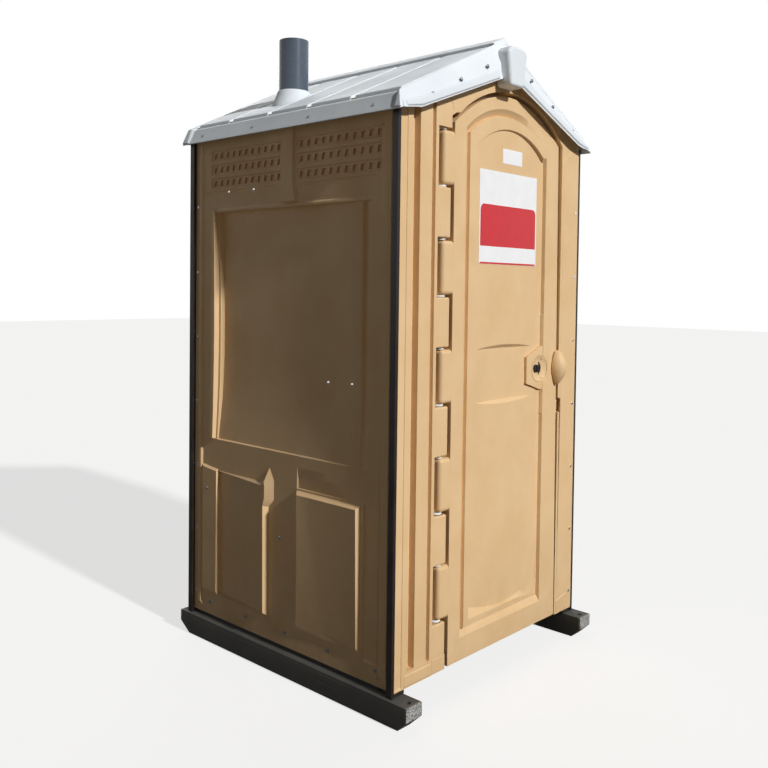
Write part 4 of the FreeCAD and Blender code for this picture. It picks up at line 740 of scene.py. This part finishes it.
def makeDoorLeaf():
    v = doorLeaf
    bm = bmesh.new()
    rim = archedFace(bm, v, steps=32)
    rimEdges = rim.edges[:]
    bm.faces.remove(rim)
    panel = archedFace(bm, v["panel"], steps=28)
    dip = addRim(bm, panel, rimEdges)
    for edge in rimEdges:
        for vert in edge.verts:
            if vert.co.y > v["spring"]:
                vert.co.z = -v["setBack"] * easeInOut((vert.co.x - v["left"]) / (v["right"] - v["left"]) * 1.8 - 0.5)
                vert.co.y -= v["archGap"] * min(1, (vert.co.y - v["spring"]) / v["archFade"])
    floorEdges = addWell(bm, addField(bm, panel, dip))
    fillBetween(bm, floorEdges + addScoop(bm))
    addLockPad(bm)
    pullEdges(bm, rimEdges, (0, 0, -v["depth"]))  # the leaf's edges turn back
    standUp(bm, "front", v["plane"])
    finishPiece("doorLeaf", bm, "door", ["door_shell"], bevel=3, sheet=v["sheet"])


def addKnuckle(bm, low, length, webX, webY, radius, soft):
    # a barrel with rounded ends, and the web that carries it
    h = doorLeaf["hinge"]
    end = h["soft"]
    arc = [(radius - end + end * math.sin(a), low + end - end * math.cos(a))
           for a in (math.radians(t) for t in (0, 22, 45, 68, 90))]
    profile = [(0, low)] + arc + [(a, 2 * low + length - t) for a, t in reversed(arc)] + [(0, low + length)]
    addTurned(bm, profile, "z", (h["x"], h["y"]), steps=44)
    addBlock(bm, (webX[0], webY[0], low), (webX[1], webY[1], low + length), soft, segments=5)


def makeDoorKnuckles():
    v, h = doorLeaf, doorLeaf["hinge"]
    bm = bmesh.new()
    for i in range(h["count"]):
        addKnuckle(bm, h["first"] + i * h["pitch"] - h["length"] / 2, h["length"], h["web"],
                   (v["plane"] + 0.5, v["plane"] + v["depth"] - 1), h["core"], 15)
    finishPiece("doorKnuckles", bm, "door")


doorFittings = {
    "dish": {"centre": (284, 1114), "rings": ((52.8, -12), (52.8, -4.6), (51.5, -3.8), (49.5, -4.4), (38, -11.2)),
             "face": -543, "pin": (268, 1114), "pinHole": 16, "window": (21, 38, 55)},
    "latch": {"disc": (41, 13.4, 14.3), "pin": (15, 3.5, 8, 14), "slot": 2.4, "shaft": (8, 85)},
    "pull": {"centre": (399, -546, 1112), "half": (36, 41, 69), "face": -545.5, "foot": (385, 17)},
    "plate": {"x": (26, 153), "z": (1883, 1937)}, "sticker": {"x": (-116, 258), "z": (1512, 1850)}, "film": 0.9,
}


def cutWindow(bm, level):
    # a curved band beside the pin that narrows towards its ends; gives back the edges round it
    d = doorFittings["dish"]
    px, pz = d["pin"]
    inner, outer, reach = d["window"]
    turn = math.radians(reach)
    old = set(bm.verts)
    ends = [bm.verts.new((px + r * math.cos(turn), level, pz - r * math.sin(turn))) for r in (inner + 5, outer - 5)]
    bmesh.ops.spin(bm, geom=ends + [bm.edges.new(ends)], cent=(px, level, pz), axis=(0, -1, 0), angle=2 * turn,
                   steps=20)
    window = {c for c in bm.verts if c not in old}
    for vert in window:
        offset = Vector((vert.co.x - px, 0, vert.co.z - pz))
        bend = abs(math.degrees(math.atan2(offset.z, offset.x))) / reach
        side = 1 if offset.length > (inner + outer) / 2 else -1
        radius = inner + (outer - inner) * (0.5 + (0.5 - 0.42 * bend ** 2) * side)
        vert.co = Vector((px, level, pz)) + offset.normalized() * radius
    faces = {f for c in window for f in c.link_faces}
    edges = [e for e in {e for f in faces for e in f.edges} if len(e.link_faces) == 1]
    bmesh.ops.delete(bm, geom=list(faces), context="FACES_ONLY")
    return edges


def faceFront(bm):
    # a sheet whose largest face should look towards -y
    bmesh.ops.recalc_face_normals(bm, faces=bm.faces[:])
    if max(bm.faces, key=lambda f: f.calc_area()).normal.y > 0:
        bmesh.ops.reverse_faces(bm, faces=bm.faces[:])


def makeLockDish():
    # a round dish with a curved window beside its slotted pin
    d = doorFittings["dish"]
    bm = bmesh.new()
    x, z = d["centre"]
    addTurned(bm, [(r, d["face"] - t) for r, t in d["rings"]], "y", (x, z), steps=64)
    floorRadius, depth = d["rings"][-1]
    rim = [e for e in bm.edges if len(e.link_faces) == 1
           and all(math.hypot(c.co.x - x, c.co.z - z) < floorRadius + 0.5 for c in e.verts)]
    level = d["face"] - depth
    pin = capRing(bm, (d["pin"][0], level, d["pin"][1]), d["pinHole"], 32, cap=False)
    edges = cutWindow(bm, level) + rim + list({e for c in pin for e in c.link_edges})
    bmesh.ops.delete(bm, geom=[e for e in bm.edges if not e.link_faces and e not in edges], context="EDGES")
    bmesh.ops.triangle_fill(bm, use_beauty=True, use_dissolve=False, edges=edges)
    bmesh.ops.remove_doubles(bm, verts=bm.verts[:], dist=0.02)
    faceFront(bm)
    finishPiece("lockDish", bm, "door", ["lock_plate"], bevel=0.5, sheet=1.6, angle=60)


def makeLatchFront():
    # the disc behind the window and the slotted pin in front of it; both turn with the latch
    d, k = doorFittings["dish"], doorFittings["latch"]
    (x, z), face, (shaft, reach) = d["pin"], d["face"], k["shaft"]
    radius, front, back = k["disc"]
    bm = bmesh.new()
    ring = [(shaft, front), (radius, front), (radius, back), (shaft, back), (shaft, front)]
    addTurned(bm, [(r, face + t) for r, t in ring], "y", (x, z), steps=48)
    finishPiece("latchDisc", bm, "latch", ["indicator_disc"], slot="lock_plastic")
    bm = bmesh.new()
    radius, front, step, back = k["pin"]
    outline = [(0, step), (radius, step), (radius, back), (shaft, back), (shaft, reach), (0, reach)]
    addTurned(bm, [(r, face + t) for r, t in outline], "y", (x, z), steps=40)
    level = face + step + 1
    for side in (-1, 1):  # the two halves of the head, with the slot between them
        land = capRing(bm, (x, level, z), radius, 40)
        geom = land + list({e for c in land for e in c.link_edges}) + list({f for c in land for f in c.link_faces})
        bmesh.ops.bisect_plane(bm, geom=geom, dist=0.001, plane_co=(x + side * k["slot"], 0, 0),
                               plane_no=(side, 0, 0), clear_inner=True)
        half = next(f for f in bm.faces if abs(f.calc_center_median().y - level) < 0.01
                    and (f.calc_center_median().x - x) * side > 0 and len(f.verts) > 10)
        made = vertsOf(bmesh.ops.extrude_face_region(bm, geom=[half]))
        bmesh.ops.translate(bm, verts=made, vec=(0, face + front - level, 0))
    bmesh.ops.recalc_face_normals(bm, faces=bm.faces[:])
    finishPiece("latchPin", bm, "latch", ["latch_spindle"], slot="lock_plastic", bevel=0.8, angle=50)


def makePull():
    # a lemon-shaped pull, cut flat behind, on a short foot
    p = doorFittings["pull"]
    bm = bmesh.new()
    for vert in bmesh.ops.create_uvsphere(bm, u_segments=48, v_segments=32, radius=1)["verts"]:
        x, y, z = vert.co
        lean = 1 - 0.2 * z ** 2 - 0.16 * max(0, -z) ** 2
        vert.co = [c + h * s for c, h, s in zip(p["centre"], p["half"], (x * lean, y * lean, z))]
    made = bmesh.ops.bisect_plane(bm, geom=bm.verts[:] + bm.edges[:] + bm.faces[:], dist=0.001, clear_outer=True,
                                  plane_co=(0, p["face"], 0), plane_no=(0, 1, 0))
    bmesh.ops.contextual_create(bm, geom=[g for g in made["geom_cut"] if isinstance(g, bmesh.types.BMEdge)])
    x, radius = p["foot"]
    foot = [(0, -3), (radius, -3), (radius, 6), (0, 6)]
    addTurned(bm, [(r, p["face"] + t) for r, t in foot], "y", (x, p["centre"][2]), steps=32)
    finishPiece("doorPull", bm, "door", ["pull_handle"], bevel=1.2, angle=50)


def makeFilms():
    # the sticker and the blank plate lie on the panel's slanting floor
    for name, node in (("plate", "number_plate"), ("sticker", "door_sticker")):
        (left, right), (low, high) = doorFittings[name]["x"], doorFittings[name]["z"]
        bm = bmesh.new()
        for vert in bmesh.ops.create_grid(bm, x_segments=12, y_segments=10, size=1)["verts"]:
            x = (left + right) / 2 + vert.co.x * (right - left) / 2
            z = (low + high) / 2 + vert.co.y * (high - low) / 2
            vert.co = (x, doorLeaf["plane"] - wellLevel(x) - doorFittings["film"], z)
        faceFront(bm)
        finishPiece(name + "Film", bm, "door", [node], slot="label_film", sheet=0.6)


makeDoorLeaf()
makeDoorKnuckles()
makeLockDish()
makeLatchFront()
makePull()
makeFilms()
print("door made")


frontFrame = {
    "plane": -543, "half": 545, "foot": 104, "corner": 2050, "peak": 2312, "return": 20, "sheet": 4,
    "doorway": {"left": -275, "right": 419, "foot": 104, "spring": 1991.3, "peak": 2141, "depth": 53},
    "bay": {"left": -355, "right": -266, "head": 1966, "depth": 62},
    "finger": {"height": 958, "radius": 30, "depth": 14},
    "grooves": ((-484, -449, 26), (-388, -370, 14)), "grooveEnds": (158, 2040),
    "edgeGroove": ([(-542, 108), (-510, 108), (-510, 2026), (-542, 2026)],
                   [(-540, 112, -3.4), (-511.5, 112, -3.4), (-511.5, 2018, -3.4), (-540, 2018, -3.4)]),
    "relief": ((-285, 1966), (-285, 2009), (-262, 2022)), "footBlock": ((-354, -543, 104), (-284, -492, 158)),
    "bands": (  # raised a little from the face: the feet, the right margin and a rib by the arch
        (rectangle(-500, -362, 108, 148), 3), ([(428, 108), (508, 108), (508, 176), (428, 160)], 3),
        ([(432, 206), (500, 226), (500, 2004), (432, 1930)], 1.6),
        ([(-302, 2104), (-296, 2107), (-276, 2032), (-282, 2030)], 2.5),
    ),
    "stop": {"foot": 140, "width": 12, "back": 45.5, "left": -230},
    "bush": ((9, -3.6), (17.5, -3.6), (19, -2.4), (19, 2.4), (17.5, 3.6), (9, 3.6), (9, -3.6)),
}


def makeFrontWall():
    v, d, b, f = frontFrame, frontFrame["doorway"], frontFrame["bay"], frontFrame["finger"]
    bm = bmesh.new()
    opening = archedFace(bm, d, steps=32)
    footEdge = next(e for e in opening.edges if all(abs(c.co.y - d["foot"]) < 0.1 for c in e.verts))
    bayCorner, rightFoot = sorted(footEdge.verts, key=lambda c: c.co.x)
    rightJamb = next(e for e in rightFoot.link_edges if e is not footEdge)
    rightHead = rightJamb.other_vert(rightFoot)
    bm.faces.remove(opening)
    bm.edges.remove(footEdge)
    bm.edges.remove(rightJamb)
    # the relief beside the top of the bay
    bayCorner.co.y = b["head"]
    ends = sorted({c for e in bm.edges for c in e.verts if c.co.x < -250}, key=lambda c: c.co.y)
    for vert, spot in zip(ends, v["relief"]):
        vert.co = (*spot, 0)
    # the finger recess bulges out of the right jamb
    old = set(bm.verts)
    start = bm.verts.new((d["right"], f["height"] - f["radius"], 0))
    bmesh.ops.spin(bm, geom=[start], cent=(d["right"], f["height"], 0), axis=(0, 0, 1), angle=math.pi, steps=16)
    arc = sorted((c for c in bm.verts if c not in old), key=lambda c: c.co.y)
    fingerEdges = list({e for c in arc for e in c.link_edges})
    jambEdges = [bm.edges.new((rightFoot, arc[0])), bm.edges.new((arc[-1], rightHead))]
    jambEdges += [e for e in bm.edges if e not in fingerEdges and e not in jambEdges]
    h = v["half"]
    outline = [(h, v["foot"]), (h, v["corner"]), (0, v["peak"]), (-h, v["corner"]), (-h, v["foot"]),
               (b["left"], v["foot"]), (b["left"], b["head"])]
    chain = [rightFoot, *ringOf(bm, outline), bayCorner]
    bayEdges = [bm.edges.new(pair) for pair in zip(chain, chain[1:])][-2:]
    for left, right, depth in v["grooves"]:
        pressFace(bm, flatFace(bm, rectangle(left, right, *v["grooveEnds"])), 1.5, -depth)
    pressPad(bm, *v["edgeGroove"])
    for corners, proud in v["bands"]:
        pressFace(bm, flatFace(bm, corners), proud, proud)
    fillBetween(bm, openEdges(bm))
    # the jambs, the hinge bay and the finger recess run back from the face
    for edges, depth in ((jambEdges, d["depth"]), (bayEdges, b["depth"]), (fingerEdges, f["depth"])):
        made = pullEdges(bm, edges, (0, 0, -depth))
    bm.faces.new(sorted(made, key=lambda c: c.co.y))
    flatFace(bm, rectangle(b["left"], b["right"], v["foot"], b["head"], -b["depth"]))
    turnBackSides(bm, h, v["return"])
    standUp(bm, "front", v["plane"])
    finishPiece("frontWall", bm, "cabin", ["front_frame"], bevel=3, sheet=v["sheet"])


def makeFrameFittings():
    # the frame's own knuckles with their bushes, and the stop behind the door's free edge
    v, b, h = frontFrame, frontFrame["bay"], doorLeaf["hinge"]
    middles = [h["first"] + i * h["pitch"] for i in range(h["count"])]
    bm = bmesh.new()
    low = h["frameFoot"]
    for middle in middles:
        high = middle - h["length"] / 2 - h["gap"]
        addKnuckle(bm, low, high - low, (b["left"] - 2, h["x"] + h["radius"] - 2), (v["plane"] + 0.5, h["y"] + 33),
                   h["radius"], 6)
        low = high + h["length"] + 2 * h["gap"]
    addBlock(bm, (b["left"], v["plane"] + 1, b["head"] + 1), (-301, v["plane"] + 60, b["head"] + 16), 2)
    addBlock(bm, *v["footBlock"], 3)
    finishPiece("frameKnuckles", bm, "cabin")
    bm = bmesh.new()
    for middle in middles:
        for end in (-1, 1):
            height = middle + end * (h["length"] + h["gap"]) / 2
            addTurned(bm, [(r, height + t) for r, t in v["bush"]], "z", (h["x"], h["y"]), steps=32)
    finishPiece("hingeBushes", bm, "cabin", ["hinge_bushes"], slot="bush_plastic")
    s = v["stop"]
    bm = bmesh.new()
    ring = archedFace(bm, {**v["doorway"], "foot": s["foot"]}, -s["back"], steps=32)
    pressFace(bm, ring, s["width"], 0)
    spots = [(g, g.calc_center_median()) for g in bm.faces]
    away = [g for g, spot in spots if g == ring or spot.x < s["left"] or spot.y < 200]
    bmesh.ops.delete(bm, geom=away, context="FACES")
    standUp(bm, "front", v["plane"])
    finishPiece("doorStop", bm, "cabin", sheet=v["sheet"])


makeFrontWall()
makeFrameFittings()
print("front made")


roof = {
    "half": 577, "lip": 8, "base": 1985, "lipRise": 10, "eave": 2033, "ridge": 2316, "front": -579, "back": 608,
    "lean": {"side": 20, "front": 0.5, "back": 0.22, "band": 50, "most": 60},
    "sheet": 4, "opening": {"foot": 486, "footHeight": 2001, "peak": 2190},
    "band": {"corners": ((66, 2167.33333), (482, 2006), (560, 1992), (560, 2010), (498, 2032), (66, 2205.62912)),
             "size": (4, 6)},
    "panel": {"edges": (-541, -335, -118, 98, 327, 544), "gap": 20, "rises": (14, 6), "ends": (548, 76)},
    "hoop": {"front": (-579, -546, -534), "back": (608, 572, 557), "proud": 8, "foot": 1989, "inside": 12},
    "cap": {"half": 62, "rise": 15},
    "nose": {"corners": ((40, 2144), (60, 2264), (38, 2286)), "front": -613, "soft": 12},
    "boot": {"x": -357, "y": 192, "foot": 82, "top": 61, "head": 2178, "bore": 57},
    "screws": {"radius": 7, "rise": 3.2, "height": 2009, "across": (138, 286, 434), "along": (-443, -133, 177, 487),
               "drop": 52},
}


def roofLine(x):
    return roof["ridge"] - abs(x) * (roof["ridge"] - roof["eave"]) / roof["half"]


def skirtShare(z):
    foot = roof["base"] + roof["lipRise"]
    return min(1, max(0, (z - foot) / (roof["eave"] - foot)))


def leanBack(bm):
    # the eaves' skirts and the upper part of both ends lean inwards
    v, k = roof, roof["lean"]
    for vert in bm.verts:
        x, y, z = vert.co
        up = min(k["most"], max(0, z - roofLine(x) + k["band"]))
        if abs(x) > v["half"] - 16:
            vert.co.x -= math.copysign(k["side"] * skirtShare(z), x)
            vert.co.z += k["side"] * skirtShare(z) ** 2 * (v["ridge"] - v["eave"]) / v["half"]
        if y < v["front"] + 12:
            vert.co.y += k["front"] * up
        elif y > v["back"] - 12:
            vert.co.y -= k["back"] * up


def addGableEnd(bm, y, facing):
    # the end plate over the gable: an upper band with the screws and a lower band that stands out a little
    v, o, h = roof, roof["opening"], roof["half"]
    plate = bmesh.new()
    for side in (-1, 1):
        pressFace(plate, flatFace(plate, [(side * a, c) for a, c in v["band"]["corners"]]), *v["band"]["size"])
    fillSheet(plate, mirrored([(0, o["peak"]), (o["foot"], o["footHeight"]), (h - 4, v["base"] + 4),
                               (h + v["lip"], v["base"]), (h, v["base"] + v["lipRise"]), (h, v["eave"]),
                               (0, v["ridge"])], first=-3))
    standUp(plate, facing, y)
    mesh = bpy.data.meshes.new("gable end")
    plate.to_mesh(mesh)
    plate.free()
    bm.from_mesh(mesh)
    bpy.data.meshes.remove(mesh)


def addHoop(bm, end, full, sunk):
    # the stouter rim at each end of the roof, sloping down to the panels
    h, e, r = roof["half"], roof["eave"], roof["ridge"]
    proud, foot, inside = (roof["hoop"][key] for key in ("proud", "foot", "inside"))
    outline = mirrored([(0, r + proud), (h + proud, e + 4), (h + proud, foot), (h - inside, foot),
                        (h - inside, e - 10), (0, r - inside)], first=-2)
    old = set(bm.verts)
    face = bm.faces.new([bm.verts.new((x, end, z)) for x, z in outline])
    for place in (full, sunk):
        last = face
        made = bmesh.ops.extrude_face_region(bm, geom=[face])["geom"]
        face = next(g for g in made if isinstance(g, bmesh.types.BMFace))
        if place == sunk:
            bmesh.ops.delete(bm, geom=[last], context="FACES_ONLY")
        for vert in face.verts:
            vert.co.y = place
            if place == sunk and (abs(vert.co.x) > h - 1 or vert.co.z > r):
                vert.co.x -= math.copysign(min(abs(vert.co.x), proud + 1), vert.co.x)
                vert.co.z -= proud + 1 if vert.co.z > r else 5 if vert.co.z > e else 0
    verts = [c for c in bm.verts if c not in old]
    outwardFaces(bm, verts)
    roundEdges(bm, [g for g in {g for c in verts for g in c.link_edges} if g.calc_face_angle(0) > 0.3], 2.5, 2)


def makeRoofShell():
    v, h = roof, roof["half"]
    bm = bmesh.new()
    profile = [(-h - v["lip"], v["base"]), (-h, v["base"] + v["lipRise"]), (-h, v["eave"]), (0, v["ridge"]),
               (h, v["eave"]), (h, v["base"] + v["lipRise"]), (h + v["lip"], v["base"])]
    verts = [bm.verts.new((x, v["front"], z)) for x, z in profile]
    pullEdges(bm, [bm.edges.new(pair) for pair in zip(verts, verts[1:])], (0, v["back"] - v["front"], 0))
    addGableEnd(bm, v["front"], "front")
    addGableEnd(bm, v["back"], "back")
    bmesh.ops.remove_doubles(bm, verts=bm.verts[:], dist=0.05)
    bmesh.ops.recalc_face_normals(bm, faces=bm.faces[:])
    top = max(bm.faces, key=lambda f: f.calc_center_median().z if abs(f.normal.z) > 0.5 else 0)
    if top.normal.z < 0:
        bmesh.ops.reverse_faces(bm, faces=bm.faces[:])
    leanBack(bm)
    finishPiece("roofShell", bm, "cabin", ["roof_shell"], slot="roof_plastic", bevel=4, sheet=v["sheet"], angle=20)


def makeRoofPanels():
    # raised panels, end hoops, cap, nose and the boot round the vent pipe
    v, p = roof, roof["panel"]
    bm = bmesh.new()
    outer, inner = p["ends"]
    low, high = p["rises"]
    for near, far in zip(p["edges"], p["edges"][1:]):
        for side in (-1, 1):
            corners = [(side * outer, roofLine(outer) - 3), (side * inner, roofLine(inner) - 3),
                       (side * inner, roofLine(inner) + high), (side * (outer - 3), roofLine(outer) + low)]
            addPrism(bm, corners, near + p["gap"] * (near > p["edges"][0]), far, 4)
    for end in ("front", "back"):
        addHoop(bm, *v["hoop"][end])
    half, rise = v["cap"]["half"], v["cap"]["rise"]
    corners = mirrored([(0, v["ridge"] - 2), (half, roofLine(half) - 2), (half, roofLine(half) + rise),
                        (0, v["ridge"] + rise)])
    addPrism(bm, corners, v["front"] + 0.5, v["back"] - 0.5, 4)
    leanBack(bm)
    nose = v["nose"]
    addPrism(bm, mirrored(nose["corners"]), nose["front"], v["front"] + 34, nose["soft"], segments=4)
    b = v["boot"]
    foot, top, head, bore = roofLine(abs(b["x"]) + b["foot"]), b["top"], b["head"], b["bore"]
    addTurned(bm, [(bore, foot + 6), (b["foot"] + 7, foot - 2), (b["foot"] + 3, foot + 10), (b["foot"] - 1, foot + 26),
                   (top + 5, head - 18), (top + 1.5, head - 3), (top - 1.5, head), (bore + 0.2, head - 0.5),
                   (bore, foot + 6)], "z", (b["x"], b["y"]), steps=48)
    finishPiece("roofPanels", bm, "cabin", slot="roof_plastic")


def makeRoofScrews():
    # round screw heads along the skirts and both ends
    v, s = roof, roof["screws"]
    r, t = s["radius"], s["rise"]
    head = [(0, -1), (r, -1), (r, 0.35 * t), (0.62 * r, t), (0, t)]
    bm = bmesh.new()
    for side in (-1, 1):
        x = v["half"] - v["lean"]["side"] * skirtShare(s["height"])
        for y in s["along"]:
            addTurned(bm, [(a, side * (x + b)) for a, b in head], "x", (y, s["height"]), steps=20)
        for across in s["across"]:
            for end, out in ((v["front"], -1), (v["back"], 1)):
                addTurned(bm, [(a, end + out * b) for a, b in head], "y",
                          (side * across, roofLine(across) - s["drop"]), steps=20)
    finishPiece("roofScrewHeads", bm, "cabin", ["roof_screws"], slot="steel")


makeRoofShell()
makeRoofPanels()
makeRoofScrews()
print("roof made")


stageValues = {
    "floorHalf": 30,  # metres
    "floorColour": "#D8D8D6",
    "bounceColour": "#7C7A77",  # what the floor throws back onto the object
    "floorGlow": (0.55, 1.25),  # share and strength
    "suns": {  # spread and turn in degrees
        "key light": {"strength": 3.25, "spread": 3, "turn": (59, 0, -2.5)},
        "light from behind": {"strength": 0.5, "spread": 40, "turn": (68, 0, 140)},
    },
    "worldStrength": 0.07,
    "worldColour": "#FFF6EE",
}


def makeStage():
    v = stageValues
    bm = bmesh.new()
    bmesh.ops.create_grid(bm, x_segments=1, y_segments=1, size=v["floorHalf"])
    mesh = bpy.data.meshes.new("studioFloor")
    bm.to_mesh(mesh)
    bm.free()
    material = bpy.data.materials.new("pale studio floor")
    tree = emptyTree(material)
    share, strength = v["floorGlow"]
    pale = addNode(tree, "BsdfDiffuse", {"Color": linearColour(v["floorColour"])})
    bounce = addNode(tree, "BsdfDiffuse", {"Color": linearColour(v["bounceColour"])})
    glow = addNode(tree, "Emission", {"Color": (1, 1, 1, 1), "Strength": strength})
    isCamera = addNode(tree, "LightPath", out="Is Camera Ray")
    seen = addNode(tree, "MixShader", {0: share, 1: pale, 2: glow})
    addNode(tree, "OutputMaterial", {"Surface": addNode(tree, "MixShader", {0: isCamera, 1: bounce, 2: seen})})
    mesh.materials.append(material)
    placeObject("studioFloor", mesh)


def makeLight():
    world = bpy.data.worlds.new("studio")
    bpy.context.scene.world = world
    tree = emptyTree(world)
    isCamera, isGlossy, isThrough = (addNode(tree, "LightPath", out=f"Is {kind} Ray")
                                     for kind in ("Camera", "Glossy", "Transmission"))
    plain = mathNode(tree, mathNode(tree, isCamera, isGlossy, "MAXIMUM"), isThrough, "MAXIMUM")
    soft = addNode(tree, "Background", {"Color": linearColour(stageValues["worldColour"]),
                                        "Strength": stageValues["worldStrength"]})
    white = addNode(tree, "Background", {"Color": (1, 1, 1, 1), "Strength": 1})
    addNode(tree, "OutputWorld", {"Surface": addNode(tree, "MixShader", {0: plain, 1: soft, 2: white})})
    for name, values in stageValues["suns"].items():
        sun = bpy.data.lights.new(name, "SUN")
        sun.energy = values["strength"]
        sun.angle = math.radians(values["spread"])
        placeObject(name, sun).rotation_euler = [math.radians(v) for v in values["turn"]]


cameraValues = {
    "place": (-2.6181, -2.4056, 1.4203),  # metres
    "turn": 0.829, "tilt": -0.0329, "roll": 0.0126,  # radians
    "focalPixels": 872.09, "centre": (390.29, 316.8), "side": 768, "sensor": 36,
}


def makeCamera():
    v = cameraValues
    side, turn = v["side"], v["turn"]
    forward = Vector((math.sin(turn) * math.cos(v["tilt"]), math.cos(turn) * math.cos(v["tilt"]), math.sin(v["tilt"])))
    right = Vector((math.cos(turn), -math.sin(turn), 0))
    up = right.cross(forward)
    c, s = math.cos(v["roll"]), math.sin(v["roll"])
    right, up = c * right + s * up, -s * right + c * up
    lens = bpy.data.cameras.new("view")
    lens.sensor_width = v["sensor"]
    lens.lens = v["focalPixels"] / side * v["sensor"]
    lens.shift_x = (side / 2 - v["centre"][0]) / side
    lens.shift_y = (v["centre"][1] - side / 2) / side
    camera = placeObject("view", lens)
    camera.matrix_world = Matrix.Translation(v["place"]) @ Matrix((right, up, -forward)).transposed().to_4x4()
    bpy.context.scene.camera = camera


makeStage()
makeLight()
makeCamera()
bpy.context.scene.view_settings.view_transform = "Standard"
print("stage, light and camera set")
